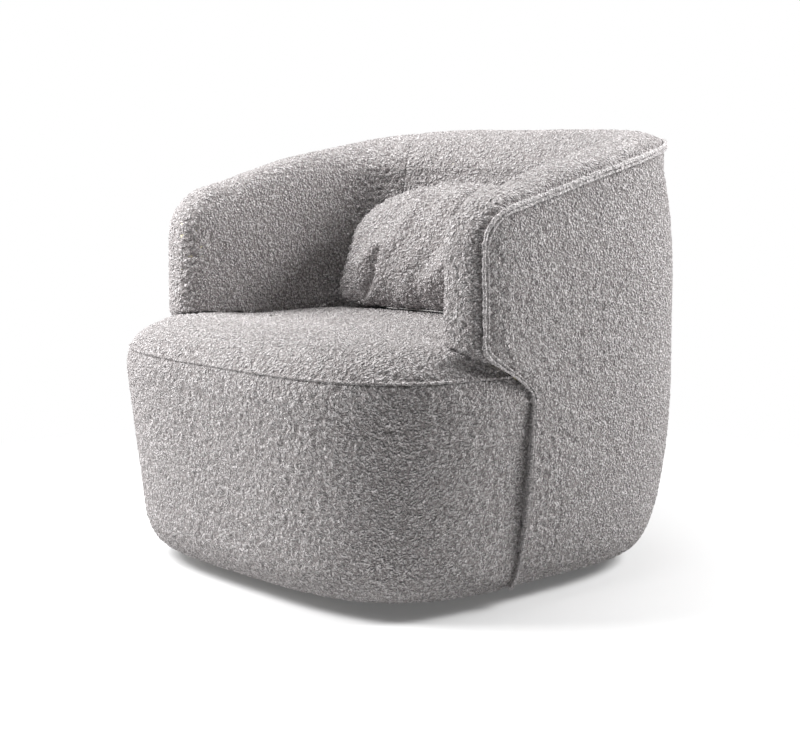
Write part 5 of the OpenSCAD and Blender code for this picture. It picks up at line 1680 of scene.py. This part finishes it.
class Workshop:
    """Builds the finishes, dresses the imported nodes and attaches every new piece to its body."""

    def __init__(self) -> None:
        """Builds each finish once."""
        self.materials = {key: finish.material() for key, finish in FINISHES.items()}

    def dress(self, piece: bpy.types.Object, finish: str) -> None:
        """Gives a piece one finish all over."""
        piece.data.materials.clear()
        piece.data.materials.append(self.materials[finish])

    def dress_nodes(self) -> None:
        """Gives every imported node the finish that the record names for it."""
        for row in frame["record"]["materials"]:
            for node in row.get("nodes", []):
                piece = frame["nodes"][node]
                for holder in piece.material_slots:
                    holder.material = self.materials[row["slot"]]
                log.info("node %s: %s", node, row["slot"])

    def enter(
        self,
        piece: bpy.types.Object,
        body: str,
        slot: Slot,
        nodes: tuple[str, ...],
    ) -> None:
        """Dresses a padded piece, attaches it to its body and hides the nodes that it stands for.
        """
        self.dress(piece, slot.value)
        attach(piece, body)
        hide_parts(*nodes)
        log.info("piece %s: %d faces on %s", piece.name, len(piece.data.polygons), body)

    def foam(self, pad: FoamPad, node: str) -> None:
        """Builds and finishes a foam sheet in place of its node."""
        self.enter(pad.build(), "chair", Slot.FOAM, (node,))


@dataclass(frozen=True)
class Lamp:
    """A soft square area light: its direction in degrees, its size in metres and its power in watts."""

    name: str
    azimuth: float
    elevation: float
    size: float
    power: float


def direction(azimuth: float, elevation: float) -> Vector:
    """Returns the unit vector to a place seen at angles in radians; azimuth 0 is the chair's front."""
    flat = math.cos(elevation)
    return Vector((math.sin(azimuth) * flat, -math.cos(azimuth) * flat, math.sin(elevation)))


@dataclass
class Studio:
    """Plain pale floor, soft lights and the photograph's camera."""

    target: tuple[float, float, float] = (0.0, -0.020, 0.350)
    azimuth: float = math.radians(47.893)
    elevation: float = math.radians(7.609)
    distance: float = 2.9116
    lens: float = 72.26
    shift: tuple[float, float] = (0.00806, -0.0003)
    lift: float = 0.13
    floor_colour: float = 0.68
    floor_radius: float = 14.0
    shadow_from: float = 0.80
    shadow_to: float = 1.5
    world_light: float = 0.024
    lamp_target: tuple[float, float, float] = (0.0, 0.0, 0.4)
    lamp_distance: float = 2.6
    lamps: tuple[Lamp, ...] = (
        Lamp("key_left", -38, 42, 1.3, 110),
        Lamp("low_left", -52, 18, 1.1, 31),
        Lamp("top", 0, 86, 1.4, 35),
        Lamp("rim_right", 138, 32, 1.1, 90),
    )

    @staticmethod
    def place(thing: bpy.types.Object, target: tuple[float, ...], away: Vector, distance: float) -> None:
        """Puts a camera or light at a distance from its target and turns it to look there."""
        thing.location = Vector(target) + away * distance
        thing.rotation_euler = (-away).to_track_quat("-Z", "Y").to_euler()
        bpy.context.scene.collection.objects.link(thing)

    def camera(self) -> None:
        """Adds the camera at the photograph's viewing angle."""
        data = bpy.data.cameras.new("camera")
        data.sensor_width, data.lens = 36.0, self.lens
        data.shift_x, data.shift_y = self.shift
        camera = bpy.data.objects.new("camera", data)
        self.place(camera, self.target, direction(self.azimuth, self.elevation), self.distance)
        bpy.context.scene.camera = camera

    def lamp(self, row: Lamp) -> None:
        """Adds one of the lamps."""
        data = bpy.data.lights.new(row.name, "AREA")
        data.shape, data.size, data.size_y, data.energy = "RECTANGLE", row.size, row.size, row.power
        light = bpy.data.objects.new(row.name, data)
        away = direction(math.radians(row.azimuth), math.radians(row.elevation))
        self.place(light, self.lamp_target, away, self.lamp_distance)

    def floor(self) -> None:
        """Adds a wide round floor that takes the shadow near the chair and is plain white further out."""
        bpy.ops.object.select_all(action="DESELECT")
        round_floor = {"vertices": 96, "radius": self.floor_radius, "fill_type": "NGON"}
        bpy.ops.mesh.primitive_circle_add(location=(0, 0, 0), **round_floor)
        floor = bpy.context.object
        floor.name = "studio_floor"
        made = bpy.data.materials.new("pale_floor")
        made.use_nodes = True
        node = Node(made.node_tree)
        shader = made.node_tree.nodes["Principled BSDF"]
        shader.inputs["Base Color"].default_value = grey(self.floor_colour)
        shader.inputs["Roughness"].default_value = 1.0
        shader.inputs["Specular IOR Level"].default_value = 0.0
        shader.inputs["Emission Color"].default_value = (1, 1, 1, 1)
        place = node.new("ShaderNodeTexCoord").outputs["Object"]
        far = node.new("ShaderNodeVectorMath", {0: place}, operation="LENGTH").outputs["Value"]
        edge = node.ramp(far, self.shadow_from, self.shadow_to, 0.0, 1.0)
        seen = node.seen()
        made.node_tree.links.new(node.math("MULTIPLY", seen, self.lift), shader.inputs["Emission Strength"])
        white = node.new("ShaderNodeEmission", {"Color": (1, 1, 1, 1), "Strength": 1.0})
        cover = node.new(
            "ShaderNodeMixShader",
            {0: node.math("MULTIPLY", edge, seen), 1: shader.outputs[0], 2: white.outputs[0]},
        )
        output = made.node_tree.nodes["Material Output"]
        made.node_tree.links.new(cover.outputs[0], output.inputs["Surface"])
        floor.data.materials.append(made)

    def world(self) -> None:
        """Sets a white background for the camera and a soft grey surrounding light."""
        world = bpy.data.worlds.new("studio")
        bpy.context.scene.world = world
        world.use_nodes = True
        node = Node(world.node_tree)
        world.node_tree.nodes.clear()
        soft = node.new("ShaderNodeBackground", {"Color": (1, 1, 1, 1), "Strength": self.world_light})
        white = node.new("ShaderNodeBackground", {"Color": (1, 1, 1, 1), "Strength": 1.0})
        both = node.new("ShaderNodeMixShader", {0: node.seen(), 1: soft.outputs[0], 2: white.outputs[0]})
        node.new("ShaderNodeOutputWorld", {"Surface": both.outputs[0]})

    def build(self) -> None:
        """Builds the whole studio."""
        bpy.context.scene.view_settings.view_transform = "Standard"
        self.camera()
        self.floor()
        self.world()
        for row in self.lamps:
            self.lamp(row)


def main() -> None:
    """Builds the studio and every piece in order."""
    logging.basicConfig(level=logging.INFO, format="%(message)s")
    Studio().build()
    shop = Workshop()
    shop.dress_nodes()
    shell, seat, padding, pillow = Shell(), SeatBlock(), Padding(), Pillow()
    shop.enter(shell.build(), "chair", Slot.BOUCLE, ("outer_cover",))
    shop.enter(seat.build_border(), "chair", Slot.BOUCLE, ("border_cover",))
    shop.enter(seat.build_top(), "chair", Slot.BOUCLE, ("seat_cover",))
    shop.enter(padding.build_back(), "chair", Slot.BOUCLE, ("back_cover",))
    welt = Welt().build()
    shop.enter(welt, "chair", Slot.BOUCLE, ("rim_welt",))
    shop.dress(welt, Welt.finish)
    shop.enter(pillow.build(), "pillow", Slot.BOUCLE, ("pillow_front_panel", "pillow_back_panel"))
    shop.enter(pillow.build_fill(), "pillow", Slot.FILL, ("pillow_fill",))
    outer, border = shell.grid()[shell.turned_rows + 1 :], seat.border_grid()[seat.turned_rows + 1 :]
    shop.foam(FoamPad("outer_foam_sheet", outer, -1), "outer_foam")
    shop.foam(FoamPad("border_foam_sheet", border, 1), "border_foam")
    shop.foam(FoamPad("back_foam_pad", padding.back_grid(), -1, thick=30.0), "back_foam")
    for side in Side:
        name = f"arm_foam_{side.word}"
        shop.enter(padding.build_arm(side), "chair", Slot.BOUCLE, (f"arm_cover_{side.word}",))
        grid = padding.arm_grid() * [side.value, 1, 1]
        shop.foam(FoamPad(f"{name}_pad", grid, -side.value, thick=26.0), name)
    shop.enter(SeatFoam().build(), "chair", Slot.FOAM, ("seat_foam",))
    total = sum(len(p.data.loop_triangles) for p in bpy.data.objects if p.type == "MESH")
    log.info("%d triangles in all", total)


if __name__ == "__main__":
    main()
